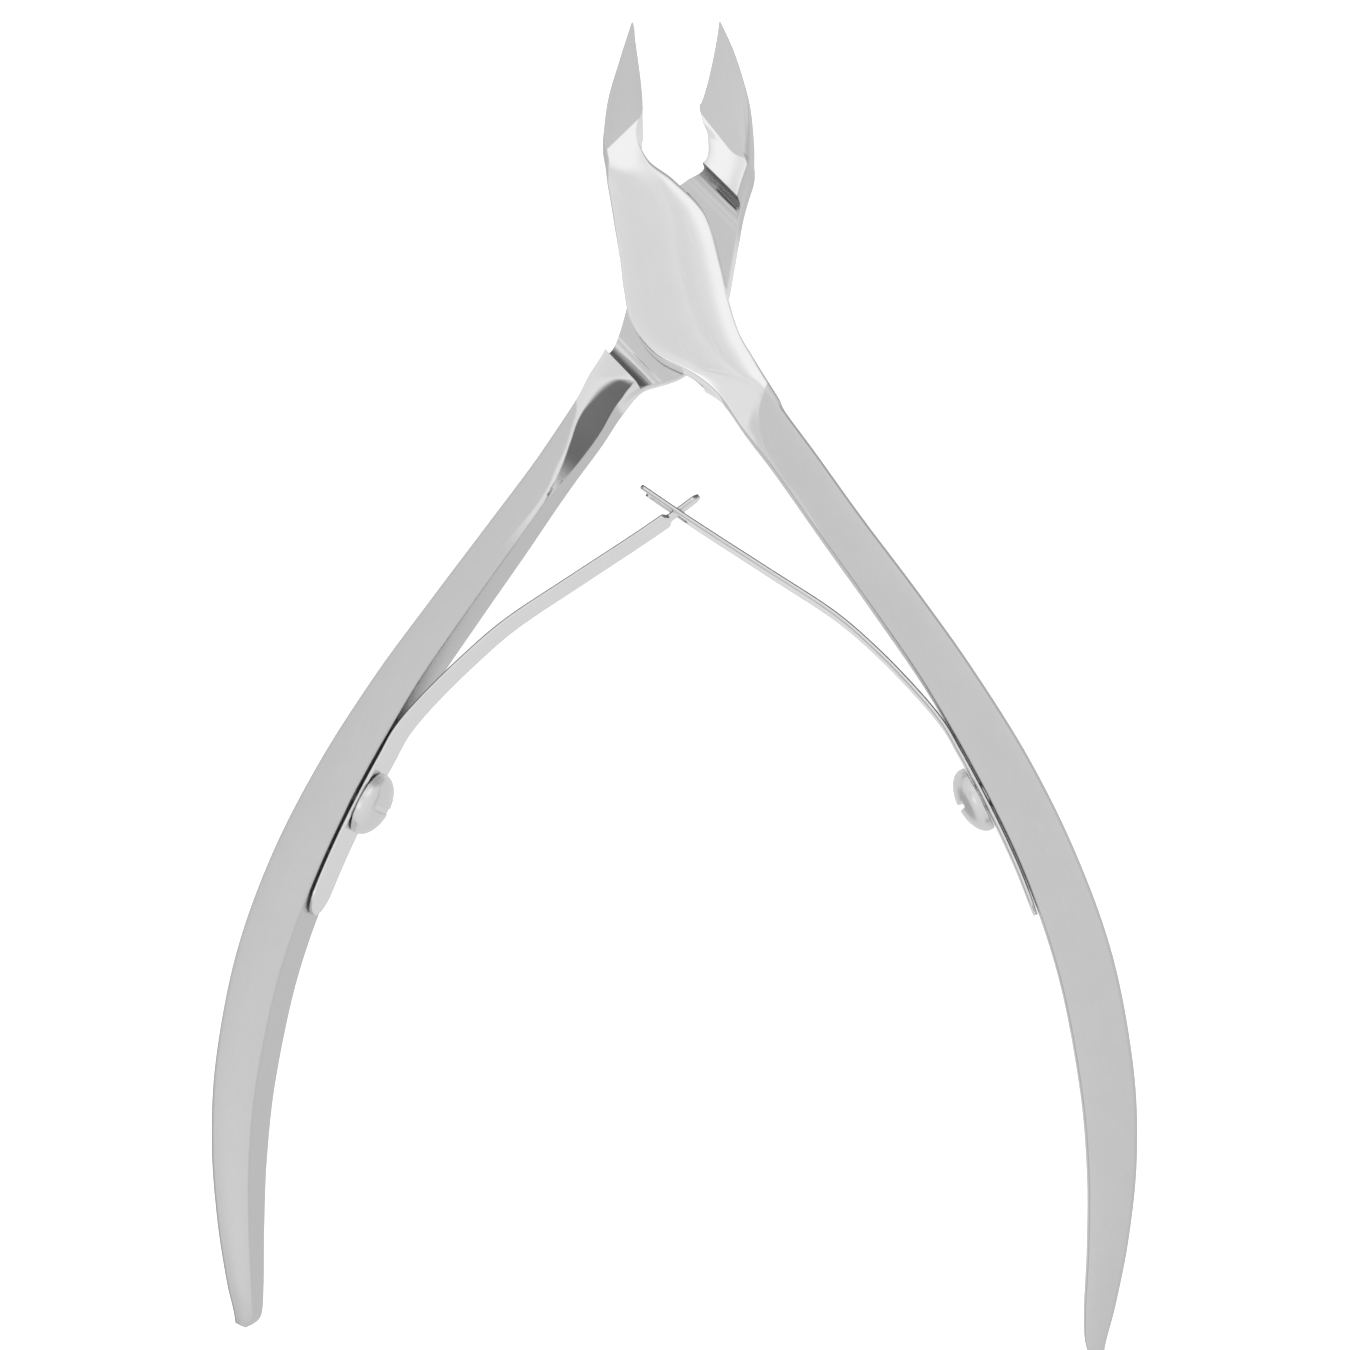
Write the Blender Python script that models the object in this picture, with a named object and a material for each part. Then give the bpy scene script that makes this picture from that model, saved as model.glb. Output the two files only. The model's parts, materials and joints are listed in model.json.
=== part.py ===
"""Cuticle nipper with a lap joint, one pivot screw and two crossing leaf springs.

The nipper lies on its back: +Z leaves its front face, +Y runs to the tips, and the
origin is on the pivot axis at the front face of the joint. Points and sizes below are
in millimetres, with depths measured from the plane where the two laps meet. Finished
meshes are in metres and half a joint depth lower.
"""

import math

import bmesh
import bpy
from mathutils import Matrix, Vector

MM = 0.001

# Joint
JOINT_DEPTH = 5.2
LAP_GAP = 0.05
STEP_REACH = 7.95
STEP_FILLET = 1.0
LAP_RIM_START = 6.85
LAP_RIM_END = 9.8
LAP_RIM_FLOOR = 0.5
FRONT_RIM_ARC = (38.0, 108.0)
REAR_RIM_ARC = (72.0, 142.0)
REAR_STEP_ANGLE = 45.0
FRONT_STEP_ANGLE = 135.0

# Handles
REAR_HANDLE_ANGLE = -21.8
FRONT_HANDLE_ANGLE = 21.2

# Pivot screw, fitted from the back
SCREW_SHANK_RADIUS = 1.75
SCREW_HEAD_RADIUS = 2.9
SCREW_THREAD_RADIUS = 1.3
SCREW_CONE_DEPTH = 1.15
SCREW_REACH = 1.75
SCREW_SLOT_WIDTH = 0.7
SCREW_SLOT_DEPTH = 0.6
SCREW_SLOT_TURN = 30.0
SCREW_HEAD_SINK = 0.05
SCREW_LEAD_IN = 0.1
FIT_GAP = 0.04

# Leaf springs
LEAF_THICKNESS = 0.35
LEAF_FOOT_WIDTH = 4.2
LEAF_TIP_WIDTH = 3.1
LEAF_SEAT_GAP = 0.04
LEAF_FOOT_END = 57.0
LEAF_TIP_END = 14.0
LEAF_TAPER_START = 46.0
LEAF_TAPER_END = 17.0
LEAF_SAMPLES = 400
FOOT_ROWS_PER_MM = 1.0
BLADE_ROWS_PER_MM = 1.6
LEAF_SEATED = (LEAF_FOOT_END, 53.5, 50.0, 46.5, 43.5)
LEAF_FLEX_ALONG = 38.5
LEAF_FLEX_GAP = 0.2
LEAF_SPLIT_ALONG = 18.9
FORK_SLOT_WIDTH = 1.9
TONGUE_WIDTH = 1.5
FOOT_LINE_WIDTH = 1.5
SPRING_SCREW_ALONG = 47.2

# Free part of a leaf in its handle's axes: distance from the pivot, offset outward.
LEAF_CURVE = (
    (41.0, 6.68),
    (38.0, 5.85),
    (34.0, 4.50),
    (30.0, 2.60),
    (25.0, -0.80),
    (20.5, -4.05),
    (17.6, -6.10),
    (14.9, -7.85),
)

# Spring screws
DOME_RADIUS = 2.57
DOME_HEIGHT = 1.75
DOME_RIM = 0.3
DOME_SHANK_RADIUS = 1.1
DOME_SHANK_LENGTH = 2.7
DOME_SLOT_WIDTH = 0.55
DOME_SLOT_DEPTH = 0.45

# Cutters reach this far past the part.
CUTTER_REACH = 12.0
STEP_CUTTER_LENGTH = 60.0
SLOT_CUTTER_LENGTH = 8.0
SLOT_CUTTER_RISE = 5.0

# Stations of each lever from the tip down to the start of its handle. A station is
# the left point, the right point, the depth there, and the undercut behind the
# cutting edge.
FRONT_STATIONS = (
    ((-3.12, 21.80), (-2.96, 21.90), 1.3, 0.10),
    ((-4.00, 18.60), (-2.64, 19.30), 2.5, 0.50),
    ((-4.90, 15.20), (-2.30, 16.40), 3.8, 0.80),
    ((-5.25, 12.20), (-2.05, 14.30), 4.8, 0.80),
    ((-5.30, 10.80), (-1.97, 13.60), 5.2, 0.70),
    ((-5.20, 10.00), (-2.30, 12.70), 5.2, 0.40),
    ((-5.05, 9.20), (-2.35, 11.50), 5.2, 0.20),
    ((-4.75, 7.60), (-1.40, 9.50), 5.2, 0.0),
    ((-4.45, 5.90), (0.60, 7.80), 5.2, 0.0),
    ((-4.10, 3.70), (3.00, 5.00), 5.2, 0.0),
    ((-3.70, 1.20), (4.15, 1.00), 5.2, 0.0),
    ((-3.40, -1.20), (4.90, -2.30), 5.2, 0.0),
    ((-2.75, -4.00), (5.75, -4.90), 5.2, 0.0),
    ((-0.90, -6.40), (6.85, -6.90), 5.2, 0.0),
    ((1.90, -8.00), (7.95, -8.80), 5.2, 0.0),
    ((3.90, -9.80), (8.90, -10.40), 4.9, 0.0),
)
REAR_STATIONS = (
    ((4.04, 21.55), (4.18, 21.45), 1.3, 0.10),
    ((3.56, 19.20), (5.35, 18.60), 2.5, 0.50),
    ((2.99, 16.20), (6.30, 15.20), 3.8, 0.80),
    ((2.63, 14.40), (6.68, 12.00), 4.8, 0.80),
    ((2.53, 13.90), (6.70, 10.20), 5.2, 0.70),
    ((2.85, 12.60), (6.63, 9.40), 5.2, 0.40),
    ((3.25, 11.40), (6.52, 8.70), 5.2, 0.20),
    ((2.80, 9.10), (6.25, 7.20), 5.2, 0.0),
    ((0.80, 7.80), (5.95, 5.70), 5.2, 0.0),
    ((-1.90, 5.50), (5.65, 3.80), 5.2, 0.0),
    ((-3.10, 1.90), (5.20, 1.50), 5.2, 0.0),
    ((-3.35, -1.30), (4.70, -1.10), 5.2, 0.0),
    ((-4.10, -4.10), (3.40, -4.40), 5.2, 0.0),
    ((-5.50, -6.00), (1.30, -7.30), 5.2, 0.0),
    ((-6.60, -7.90), (-1.15, -8.75), 5.2, 0.0),
    ((-7.80, -9.80), (-3.20, -10.30), 4.9, 0.0),
)

# Stations of each handle, in its own axes: distance from the pivot, inner face, outer
# side, depth.
FRONT_HANDLE_STATIONS = (
    (14.0, 1.02, 4.85, 4.6),
    (18.0, 2.05, 5.85, 4.4),
    (24.0, 3.35, 7.30, 4.5),
    (31.0, 4.98, 9.00, 4.8),
    (38.0, 6.50, 10.45, 5.0),
    (46.0, 7.60, 11.65, 5.1),
    (54.0, 8.05, 12.15, 5.1),
    (62.0, 7.50, 11.72, 5.1),
    (70.0, 5.85, 9.98, 5.0),
    (76.0, 3.95, 7.73, 4.6),
    (81.0, 1.85, 5.05, 3.9),
    (85.0, -0.05, 2.42, 3.1),
    (87.3, -0.90, 0.70, 2.4),
    (88.3, -0.65, 0.05, 1.9),
)
REAR_HANDLE_STATIONS = (
    (14.0, 0.88, 3.60, 4.6),
    (18.0, 1.90, 4.38, 4.4),
    (24.0, 3.30, 6.00, 4.5),
    (31.0, 4.95, 7.92, 4.8),
    (38.0, 6.50, 9.75, 5.0),
    (46.0, 7.60, 11.28, 5.1),
    (54.0, 8.05, 12.00, 5.1),
    (62.0, 7.70, 11.64, 5.1),
    (70.0, 6.22, 10.00, 5.0),
    (76.0, 4.40, 7.82, 4.6),
    (81.0, 2.48, 5.20, 3.9),
    (85.0, 0.82, 2.62, 3.1),
    (87.0, 0.10, 1.10, 2.4),
    (87.9, 0.30, 0.70, 1.9),
)
HANDLE_STATIONS = {1: FRONT_HANDLE_STATIONS, -1: REAR_HANDLE_STATIONS}

# Rounding (across, in depth) of a side at the joint, of the handle's inner face and
# of the handle's outer side.
JOINT_ROUND = (0.30, 0.30)
INNER_ROUND = (0.30, 0.35)
OUTER_ROUND = (0.55, 0.30)
JAW_OUTER_ROUND = (0.60, 0.55)
EDGE_ROUND = (0.03, 0.03)
HANDLE_CROWN = 0.05
STATION_STEPS = 2


def clear_scene():
    for obj in list(bpy.data.objects):
        bpy.data.objects.remove(obj, do_unlink=True)


def steel(name, shade, roughness):
    material = bpy.data.materials.new(name)
    material.use_nodes = True
    shader = material.node_tree.nodes["Principled BSDF"]
    shader.inputs["Base Color"].default_value = (shade, shade, shade, 1.0)
    shader.inputs["Metallic"].default_value = 1.0
    shader.inputs["Roughness"].default_value = roughness
    return material


def new_object(name, bm, material, axis_point=(0.0, 0.0)):
    """Turns a bmesh in millimetres into an object in metres, with its origin on the
    axis that it turns about."""
    place = Vector((axis_point[0], axis_point[1], -JOINT_DEPTH / 2)) * MM
    bmesh.ops.translate(bm, vec=(-axis_point[0], -axis_point[1], 0.0), verts=bm.verts)
    bmesh.ops.scale(bm, vec=(MM, MM, MM), verts=bm.verts)
    bmesh.ops.recalc_face_normals(bm, faces=bm.faces)
    mesh = bpy.data.meshes.new(name)
    bm.to_mesh(mesh)
    bm.free()
    mesh.shade_smooth()
    mesh.set_sharp_from_angle(angle=math.radians(30))
    mesh.materials.append(material)
    obj = bpy.data.objects.new(name, mesh)
    obj.location = place
    bpy.context.scene.collection.objects.link(obj)
    return obj


def new_cutter(name, bm):
    obj = new_object(name, bm, bpy.data.materials["cutter"])
    obj.hide_render = True
    obj.display_type = "WIRE"
    return obj


def cut(obj, cutter):
    modifier = obj.modifiers.new(cutter.name, "BOOLEAN")
    modifier.operation = "DIFFERENCE"
    modifier.solver = "EXACT"
    modifier.object = cutter


def spline(values, position):
    """Catmull-Rom value at a position counted in stations."""
    last = len(values) - 1
    start = min(int(position), last - 1)
    t = position - start
    before, first, second, after = (
        values[min(max(i, 0), last)] for i in range(start - 1, start + 3)
    )
    slope_first = (second - before) / 2
    slope_second = (after - first) / 2
    return (
        first * (2 * t**3 - 3 * t**2 + 1)
        + slope_first * (t**3 - 2 * t**2 + t)
        + second * (3 * t**2 - 2 * t**3)
        + slope_second * (t**3 - t**2)
    )


def linear(values, position):
    start = min(int(position), len(values) - 2)
    t = position - start
    return values[start] * (1 - t) + values[start + 1] * t


def handle_axes(angle, side):
    """Unit vectors along the handle and outward from it, for a handle at that angle
    from -Y, with side +1 on the right and -1 on the left."""
    turn = math.radians(angle)
    along = Vector((math.sin(turn), -math.cos(turn)))
    outward = Vector((math.cos(turn), math.sin(turn))) * side
    return along, outward


def inner_face(distance, side):
    """Offset of a handle's inner face at that distance from the pivot."""
    stations = HANDLE_STATIONS[side]
    places = [row[0] for row in stations]
    index = max(i for i in range(len(places) - 1) if places[i] <= distance)
    t = (distance - places[index]) / (places[index + 1] - places[index])
    return spline([row[1] for row in stations], index + t)


def arc_points(centre_across, centre_depth, across, depth, start, end, steps=4):
    points = []
    for i in range(steps + 1):
        angle = math.radians(start + (end - start) * i / steps)
        points.append(
            (
                centre_across + across * math.cos(angle),
                centre_depth + depth * math.sin(angle),
            )
        )
    return points


def flat_points(start, end, depth, crown):
    """Points between two corners of the front or back face, bowed out by crown."""
    points = []
    for part in (0.25, 0.5, 0.75):
        bow = crown * 4 * part * (1 - part)
        points.append((start + (end - start) * part, depth + math.copysign(bow, depth)))
    return points


def section(station):
    """Closed loop of (across, depth) points from the left rail to the right rail."""
    width = station["width"]
    half = station["depth"] / 2
    left_across, left_depth = station["left_round"]
    right_across, right_depth = station["right_round"]
    left_across = min(left_across, 0.45 * width)
    right_across = min(right_across, 0.45 * width)
    left_depth = min(left_depth, 0.9) * half
    right_depth = min(right_depth, 0.9) * half
    crown = station["crown"]
    right_centre = width - right_across
    top = half - crown
    loop = flat_points(left_across, right_centre, top, crown)
    loop += arc_points(right_centre, top - right_depth, right_across, right_depth, 90, 0)
    loop += arc_points(right_centre, right_depth - top, right_across, right_depth, 0, -90)
    loop += flat_points(right_centre, left_across, -top, crown)
    loop += arc_points(left_across, left_depth - top, left_across, left_depth, 270, 180)
    loop += arc_points(left_across, top - left_depth, left_across, left_depth, 180, 90)
    return [(undercut(across, depth, station), depth) for across, depth in loop]


def undercut(across, depth, station):
    """Leans the side that carries the cutting edge inward toward the back."""
    lean = station["undercut"] * (0.5 - depth / station["depth"])
    share = across / station["width"]
    if station["edge"] == "right":
        return across - lean * share
    return across + lean * (1 - share)


def head_rows(stations, edge):
    rows = []
    for left, right, depth, lean in stations:
        on_jaw = right[1] > 9 and left[1] > 9
        inner, outer = (EDGE_ROUND, JAW_OUTER_ROUND) if on_jaw else (JOINT_ROUND, JOINT_ROUND)
        rows.append(
            {
                "left": Vector(left),
                "right": Vector(right),
                "depth": depth,
                "undercut": lean,
                "left_round": Vector(outer if edge == "right" else inner),
                "right_round": Vector(inner if edge == "right" else outer),
                "crown": 0.0,
            }
        )
    return rows


def handle_rows(angle, side):
    along, outward = handle_axes(angle, side)
    rows = []
    for distance, inner, outer, depth in HANDLE_STATIONS[side]:
        inner_point = along * distance + outward * inner
        outer_point = along * distance + outward * outer
        on_right = side > 0
        rows.append(
            {
                "left": inner_point if on_right else outer_point,
                "right": outer_point if on_right else inner_point,
                "depth": depth,
                "undercut": 0.0,
                "left_round": Vector(INNER_ROUND if on_right else OUTER_ROUND),
                "right_round": Vector(OUTER_ROUND if on_right else INNER_ROUND),
                "crown": HANDLE_CROWN,
            }
        )
    return rows


def loft(rows, edge):
    """Skins the stations of a lever from its tip to the end of its handle."""
    bm = bmesh.new()
    loops = []
    for count in range((len(rows) - 1) * STATION_STEPS + 1):
        position = count / STATION_STEPS
        left = spline([row["left"] for row in rows], position)
        right = spline([row["right"] for row in rows], position)
        station = {
            key: linear([row[key] for row in rows], position)
            for key in ("depth", "undercut", "left_round", "right_round", "crown")
        }
        station["edge"] = edge
        station["width"] = (right - left).length
        direction = (right - left).normalized()
        loop = []
        for across, depth in section(station):
            place = left + direction * across
            loop.append(bm.verts.new((place.x, place.y, depth)))
        loops.append(loop)
    for first, second in zip(loops, loops[1:]):
        for i in range(len(first)):
            after = (i + 1) % len(first)
            bm.faces.new((first[i], first[after], second[after], second[i]))
    bm.faces.new(loops[0])
    bm.faces.new(loops[-1])
    return bm


def prism(outline, length, matrix):
    """Solid with that outline in its XY plane, centred on it, length long in Z."""
    bm = bmesh.new()
    bottom = [bm.verts.new((x, y, -length / 2)) for x, y in outline]
    face = bm.faces.new(bottom)
    grown = bmesh.ops.extrude_face_region(bm, geom=[face])
    top = [item for item in grown["geom"] if isinstance(item, bmesh.types.BMVert)]
    bmesh.ops.translate(bm, vec=(0, 0, length), verts=top)
    bmesh.ops.transform(bm, matrix=matrix, verts=bm.verts)
    return bm


def step_cutter(name, angle, facing):
    """Removes one half of the joint between its two steps. facing is +1 where the
    front half goes and -1 where the back half goes."""
    floor = -facing * LAP_GAP / 2
    fillet = STEP_REACH - STEP_FILLET
    rim = floor + facing * STEP_FILLET
    far = facing * CUTTER_REACH
    outline = [(-STEP_REACH, far)]
    if facing > 0:
        outline += arc_points(-fillet, rim, STEP_FILLET, STEP_FILLET, 180, 270)
        outline += arc_points(fillet, rim, STEP_FILLET, STEP_FILLET, 270, 360)
    else:
        outline += arc_points(-fillet, rim, STEP_FILLET, STEP_FILLET, 180, 90)
        outline += arc_points(fillet, rim, STEP_FILLET, STEP_FILLET, 90, 0)
    outline.append((STEP_REACH, far))
    turn = Matrix.Rotation(math.radians(angle), 4, "Z") @ Matrix.Rotation(math.radians(90), 4, "X")
    return new_cutter(name, prism(outline, STEP_CUTTER_LENGTH, turn))


def rim_cutter(name, arc, facing):
    """Relieves the hidden rim of a lap where it passes over the other lever's step."""
    slope = STEP_REACH - LAP_RIM_START
    start, end = arc
    outline = (
        (LAP_RIM_START, -LAP_RIM_FLOOR),
        (LAP_RIM_START, LAP_GAP / 2),
        (STEP_REACH, LAP_GAP / 2 + slope),
        (LAP_RIM_END, LAP_GAP / 2 + slope),
        (LAP_RIM_END, -LAP_RIM_FLOOR),
    )
    bm = bmesh.new()
    rings = []
    steps = 12
    for count in range(steps + 1):
        angle = math.radians(start + (end - start) * count / steps)
        ring = []
        for radius, height in outline:
            place = (radius * math.cos(angle), radius * math.sin(angle), facing * height)
            ring.append(bm.verts.new(place))
        rings.append(ring)
    for first, second in zip(rings, rings[1:]):
        for i in range(len(outline)):
            after = (i + 1) % len(outline)
            bm.faces.new((first[i], first[after], second[after], second[i]))
    bm.faces.new(rings[0])
    bm.faces.new(rings[-1])
    return new_cutter(name, bm)


def turned(profile, matrix, segments=40):
    """Solid of revolution about Z from a profile that starts and ends on the axis."""
    bm = bmesh.new()
    verts = [bm.verts.new((radius, 0.0, height)) for radius, height in profile]
    edges = [bm.edges.new(pair) for pair in zip(verts, verts[1:])]
    bmesh.ops.spin(
        bm,
        geom=verts + edges,
        cent=(0, 0, 0),
        axis=(0, 0, 1),
        angle=math.tau,
        steps=segments,
        use_merge=True,
    )
    bmesh.ops.remove_doubles(bm, verts=bm.verts, dist=1e-4)
    bmesh.ops.transform(bm, matrix=matrix, verts=bm.verts)
    return bm


def pivot_profile(grow):
    """Countersunk head at the back, plain shank, then the threaded end."""
    half = JOINT_DEPTH / 2
    head_plane = -half + (SCREW_HEAD_SINK if grow == 0 else -LAP_RIM_FLOOR)
    cone_end = -half + SCREW_CONE_DEPTH
    head_radius = SCREW_HEAD_RADIUS + grow
    profile = [(0.0, head_plane), (head_radius, head_plane)]
    if grow:
        profile.append((head_radius, -half + SCREW_HEAD_SINK))
    profile += [
        (SCREW_SHANK_RADIUS + grow, cone_end),
        (SCREW_SHANK_RADIUS + grow, grow / 2),
        (SCREW_THREAD_RADIUS + grow, grow / 2 + SCREW_LEAD_IN),
        (SCREW_THREAD_RADIUS + grow, SCREW_REACH + grow),
        (0.0, SCREW_REACH + grow),
    ]
    return profile


def slot_cutter(name, width, depth, matrix):
    """Box whose top is open at z = 0 of the given frame and runs along its X."""
    rise = SLOT_CUTTER_RISE
    outline = ((-width / 2, -depth), (width / 2, -depth), (width / 2, rise), (-width / 2, rise))
    along_x = Matrix.Rotation(math.radians(90), 4, "Z") @ Matrix.Rotation(math.radians(90), 4, "X")
    return new_cutter(name, prism(outline, SLOT_CUTTER_LENGTH, matrix @ along_x))


def make_levers(polished):
    front = new_object(
        "front_lever",
        loft(head_rows(FRONT_STATIONS, "right") + handle_rows(FRONT_HANDLE_ANGLE, 1), "right"),
        polished,
    )
    rear = new_object(
        "rear_lever",
        loft(head_rows(REAR_STATIONS, "left") + handle_rows(REAR_HANDLE_ANGLE, -1), "left"),
        polished,
    )
    cut(front, step_cutter("front_step_cutter", FRONT_STEP_ANGLE, -1))
    cut(rear, step_cutter("rear_step_cutter", REAR_STEP_ANGLE, 1))
    cut(front, rim_cutter("front_rim_cutter", FRONT_RIM_ARC, 1))
    cut(rear, rim_cutter("rear_rim_cutter", REAR_RIM_ARC, -1))
    bore = new_cutter("pivot_bore", turned(pivot_profile(FIT_GAP), Matrix.Identity(4)))
    cut(front, bore)
    cut(rear, bore)
    return front, rear


def make_pivot_screw(polished):
    screw = new_object("pivot_screw", turned(pivot_profile(0.0), Matrix.Identity(4)), polished)
    head = Matrix.Translation((0, 0, -JOINT_DEPTH / 2 + SCREW_HEAD_SINK))
    frame = Matrix.Rotation(math.radians(SCREW_SLOT_TURN), 4, "Z") @ head
    frame = frame @ Matrix.Rotation(math.pi, 4, "X")
    cut(screw, slot_cutter("pivot_slot", SCREW_SLOT_WIDTH, SCREW_SLOT_DEPTH, frame))


def leaf_path(side):
    """Centre line of a leaf in its handle's axes, from the foot to the tip."""
    seat = LEAF_SEAT_GAP + LEAF_THICKNESS / 2
    seated = [(distance, inner_face(distance, side) - seat) for distance in LEAF_SEATED]
    return [Vector(point) for point in (*seated, *LEAF_CURVE)]


def leaf_samples(side):
    path = leaf_path(side)
    total = len(path) - 1
    return [spline(path, total * i / LEAF_SAMPLES) for i in range(LEAF_SAMPLES + 1)]


def flex_point(angle, side):
    """Place of the axis about which a blade bends from its foot."""
    along, outward = handle_axes(angle, side)
    flex = min(leaf_samples(side), key=lambda point: abs(point.x - LEAF_FLEX_ALONG))
    return along * flex.x + outward * flex.y


def leaf_rows(start, end, per_mm, side):
    """Points, normals and widths along the leaf between two distances."""
    kept = [point for point in leaf_samples(side) if end <= point.x <= start]
    count = max(4, round((start - end) * per_mm))
    picks = [kept[round((len(kept) - 1) * i / count)] for i in range(count + 1)]
    rows = []
    for i, point in enumerate(picks):
        tangent = (picks[min(i + 1, count)] - picks[max(i - 1, 0)]).normalized()
        normal = Vector((-tangent.y, tangent.x))
        share = (point.x - LEAF_TAPER_END) / (LEAF_TAPER_START - LEAF_TAPER_END)
        share = min(max(share, 0.0), 1.0)
        width = LEAF_TIP_WIDTH + (LEAF_FOOT_WIDTH - LEAF_TIP_WIDTH) * share
        rows.append((point, normal, width))
    return rows


def leaf_solid(rows, end_kind, angle, side):
    """Plate that follows the rows. A fork leaves its middle out near the tip, and a
    tongue keeps only its middle there."""
    along, outward = handle_axes(angle, side)
    inner_widths = {"fork": FORK_SLOT_WIDTH, "tongue": TONGUE_WIDTH, "foot": FOOT_LINE_WIDTH}
    inner_width = inner_widths[end_kind]
    bm = bmesh.new()
    grid = []
    for point, normal, width in rows:
        lines = (-width / 2, -inner_width / 2, inner_width / 2, width / 2)
        faces = []
        for shift in (-LEAF_THICKNESS / 2, LEAF_THICKNESS / 2):
            place = point + normal * shift
            flat = along * place.x + outward * place.y
            faces.append([bm.verts.new((flat.x, flat.y, z)) for z in lines])
        grid.append(faces)

    def filled(row, column):
        if not (0 <= row < len(rows) - 1 and 0 <= column < 3):
            return False
        past_split = rows[row][0].x < LEAF_SPLIT_ALONG
        if end_kind == "fork" and past_split:
            return column != 1
        if end_kind == "tongue" and past_split:
            return column == 1
        return True

    for row in range(len(rows) - 1):
        for column in range(3):
            if not filled(row, column):
                continue
            near, far = grid[row], grid[row + 1]
            low, high = column, column + 1
            bm.faces.new((near[0][low], near[0][high], far[0][high], far[0][low]))
            bm.faces.new((near[1][high], near[1][low], far[1][low], far[1][high]))
            if not filled(row - 1, column):
                bm.faces.new((near[0][high], near[0][low], near[1][low], near[1][high]))
            if not filled(row + 1, column):
                bm.faces.new((far[0][low], far[0][high], far[1][high], far[1][low]))
            if not filled(row, column - 1):
                bm.faces.new((near[0][low], far[0][low], far[1][low], near[1][low]))
            if not filled(row, column + 1):
                bm.faces.new((far[0][high], near[0][high], near[1][high], far[1][high]))
    loose = [vert for vert in bm.verts if not vert.link_faces]
    bmesh.ops.delete(bm, geom=loose, context="VERTS")
    return bm


def screw_frame(angle, side, lift):
    """Frame on a handle's inner face at its screw: Z leaves the face and X runs in
    the depth of the nipper. lift is the height above the face."""
    along, outward = handle_axes(angle, side)
    step = 0.5
    before = inner_face(SPRING_SCREW_ALONG - step, side)
    after = inner_face(SPRING_SCREW_ALONG + step, side)
    tangent = (along * (2 * step) + outward * (after - before)).normalized()
    normal = Vector((-tangent.y, tangent.x))
    if normal.dot(outward) > 0:
        normal = -normal
    seat = along * SPRING_SCREW_ALONG + outward * inner_face(SPRING_SCREW_ALONG, side)
    origin = seat + normal * lift
    z_axis = Vector((normal.x, normal.y, 0))
    x_axis = Vector((0, 0, 1))
    y_axis = z_axis.cross(x_axis)
    frame = Matrix((x_axis, y_axis, z_axis)).transposed().to_4x4()
    frame.translation = (origin.x, origin.y, 0)
    return frame


def dome_profile():
    """Domed head above z = 0 and the shank below it."""
    profile = [(0.0, -DOME_SHANK_LENGTH), (DOME_SHANK_RADIUS, -DOME_SHANK_LENGTH)]
    profile += [(DOME_SHANK_RADIUS, 0.0), (DOME_RADIUS, 0.0), (DOME_RADIUS, DOME_RIM)]
    rise = DOME_HEIGHT - DOME_RIM
    for angle in (15, 30, 45, 60, 75):
        turn = math.radians(angle)
        profile.append((DOME_RADIUS * math.cos(turn), DOME_RIM + rise * math.sin(turn)))
    profile.append((0.0, DOME_HEIGHT))
    return profile


def make_spring(label, lever, end_kind, angle, side, spring_steel, polished):
    """One leaf as its clamped foot and its free blade, with the screw that holds it."""
    flex_low = LEAF_FLEX_ALONG + LEAF_FLEX_GAP / 2
    flex_high = LEAF_FLEX_ALONG - LEAF_FLEX_GAP / 2
    foot_rows = leaf_rows(LEAF_FOOT_END, flex_low, FOOT_ROWS_PER_MM, side)
    blade_rows = leaf_rows(flex_high, LEAF_TIP_END, BLADE_ROWS_PER_MM, side)
    foot = new_object(
        f"{label}_leaf_foot", leaf_solid(foot_rows, "foot", angle, side), spring_steel
    )
    new_object(
        f"{label}_leaf_spring",
        leaf_solid(blade_rows, end_kind, angle, side),
        spring_steel,
        flex_point(angle, side),
    )
    lift = LEAF_SEAT_GAP + LEAF_THICKNESS + LEAF_SEAT_GAP
    frame = screw_frame(angle, side, lift)
    screw = new_object(f"{label}_spring_screw", turned(dome_profile(), frame), polished)
    slot_frame = frame @ Matrix.Translation((0, 0, DOME_HEIGHT))
    cut(screw, slot_cutter(f"{label}_dome_slot", DOME_SLOT_WIDTH, DOME_SLOT_DEPTH, slot_frame))
    reach = DOME_SHANK_LENGTH + FIT_GAP
    hole = DOME_SHANK_RADIUS + FIT_GAP
    drill_profile = [(0.0, -reach), (hole, -reach), (hole, 1.0), (0.0, 1.0)]
    drill = new_cutter(f"{label}_screw_drill", turned(drill_profile, frame))
    cut(foot, drill)
    cut(lever, drill)


def main():
    clear_scene()
    bpy.data.materials.new("cutter")
    polished = steel("polished_steel", 0.75, 0.15)
    satin = steel("satin_steel", 0.62, 0.32)
    spring_steel = steel("spring_steel", 0.70, 0.20)
    front, rear = make_levers(satin)
    make_pivot_screw(polished)
    make_spring("left", rear, "tongue", REAR_HANDLE_ANGLE, -1, spring_steel, polished)
    make_spring("right", front, "fork", FRONT_HANDLE_ANGLE, 1, spring_steel, polished)


main()
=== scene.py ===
# Looks of the cuticle nipper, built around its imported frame.
#
# Shapes are worked out in millimetres about the pivot, with +Y to the tips and depths
# measured from the plane where the two laps meet. They are scaled to metres and moved
# to the pivot of the frame when their objects are made.

import itertools
import json
import math
from collections import namedtuple

import bmesh
import bpy
from mathutils import Matrix, Vector


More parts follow.
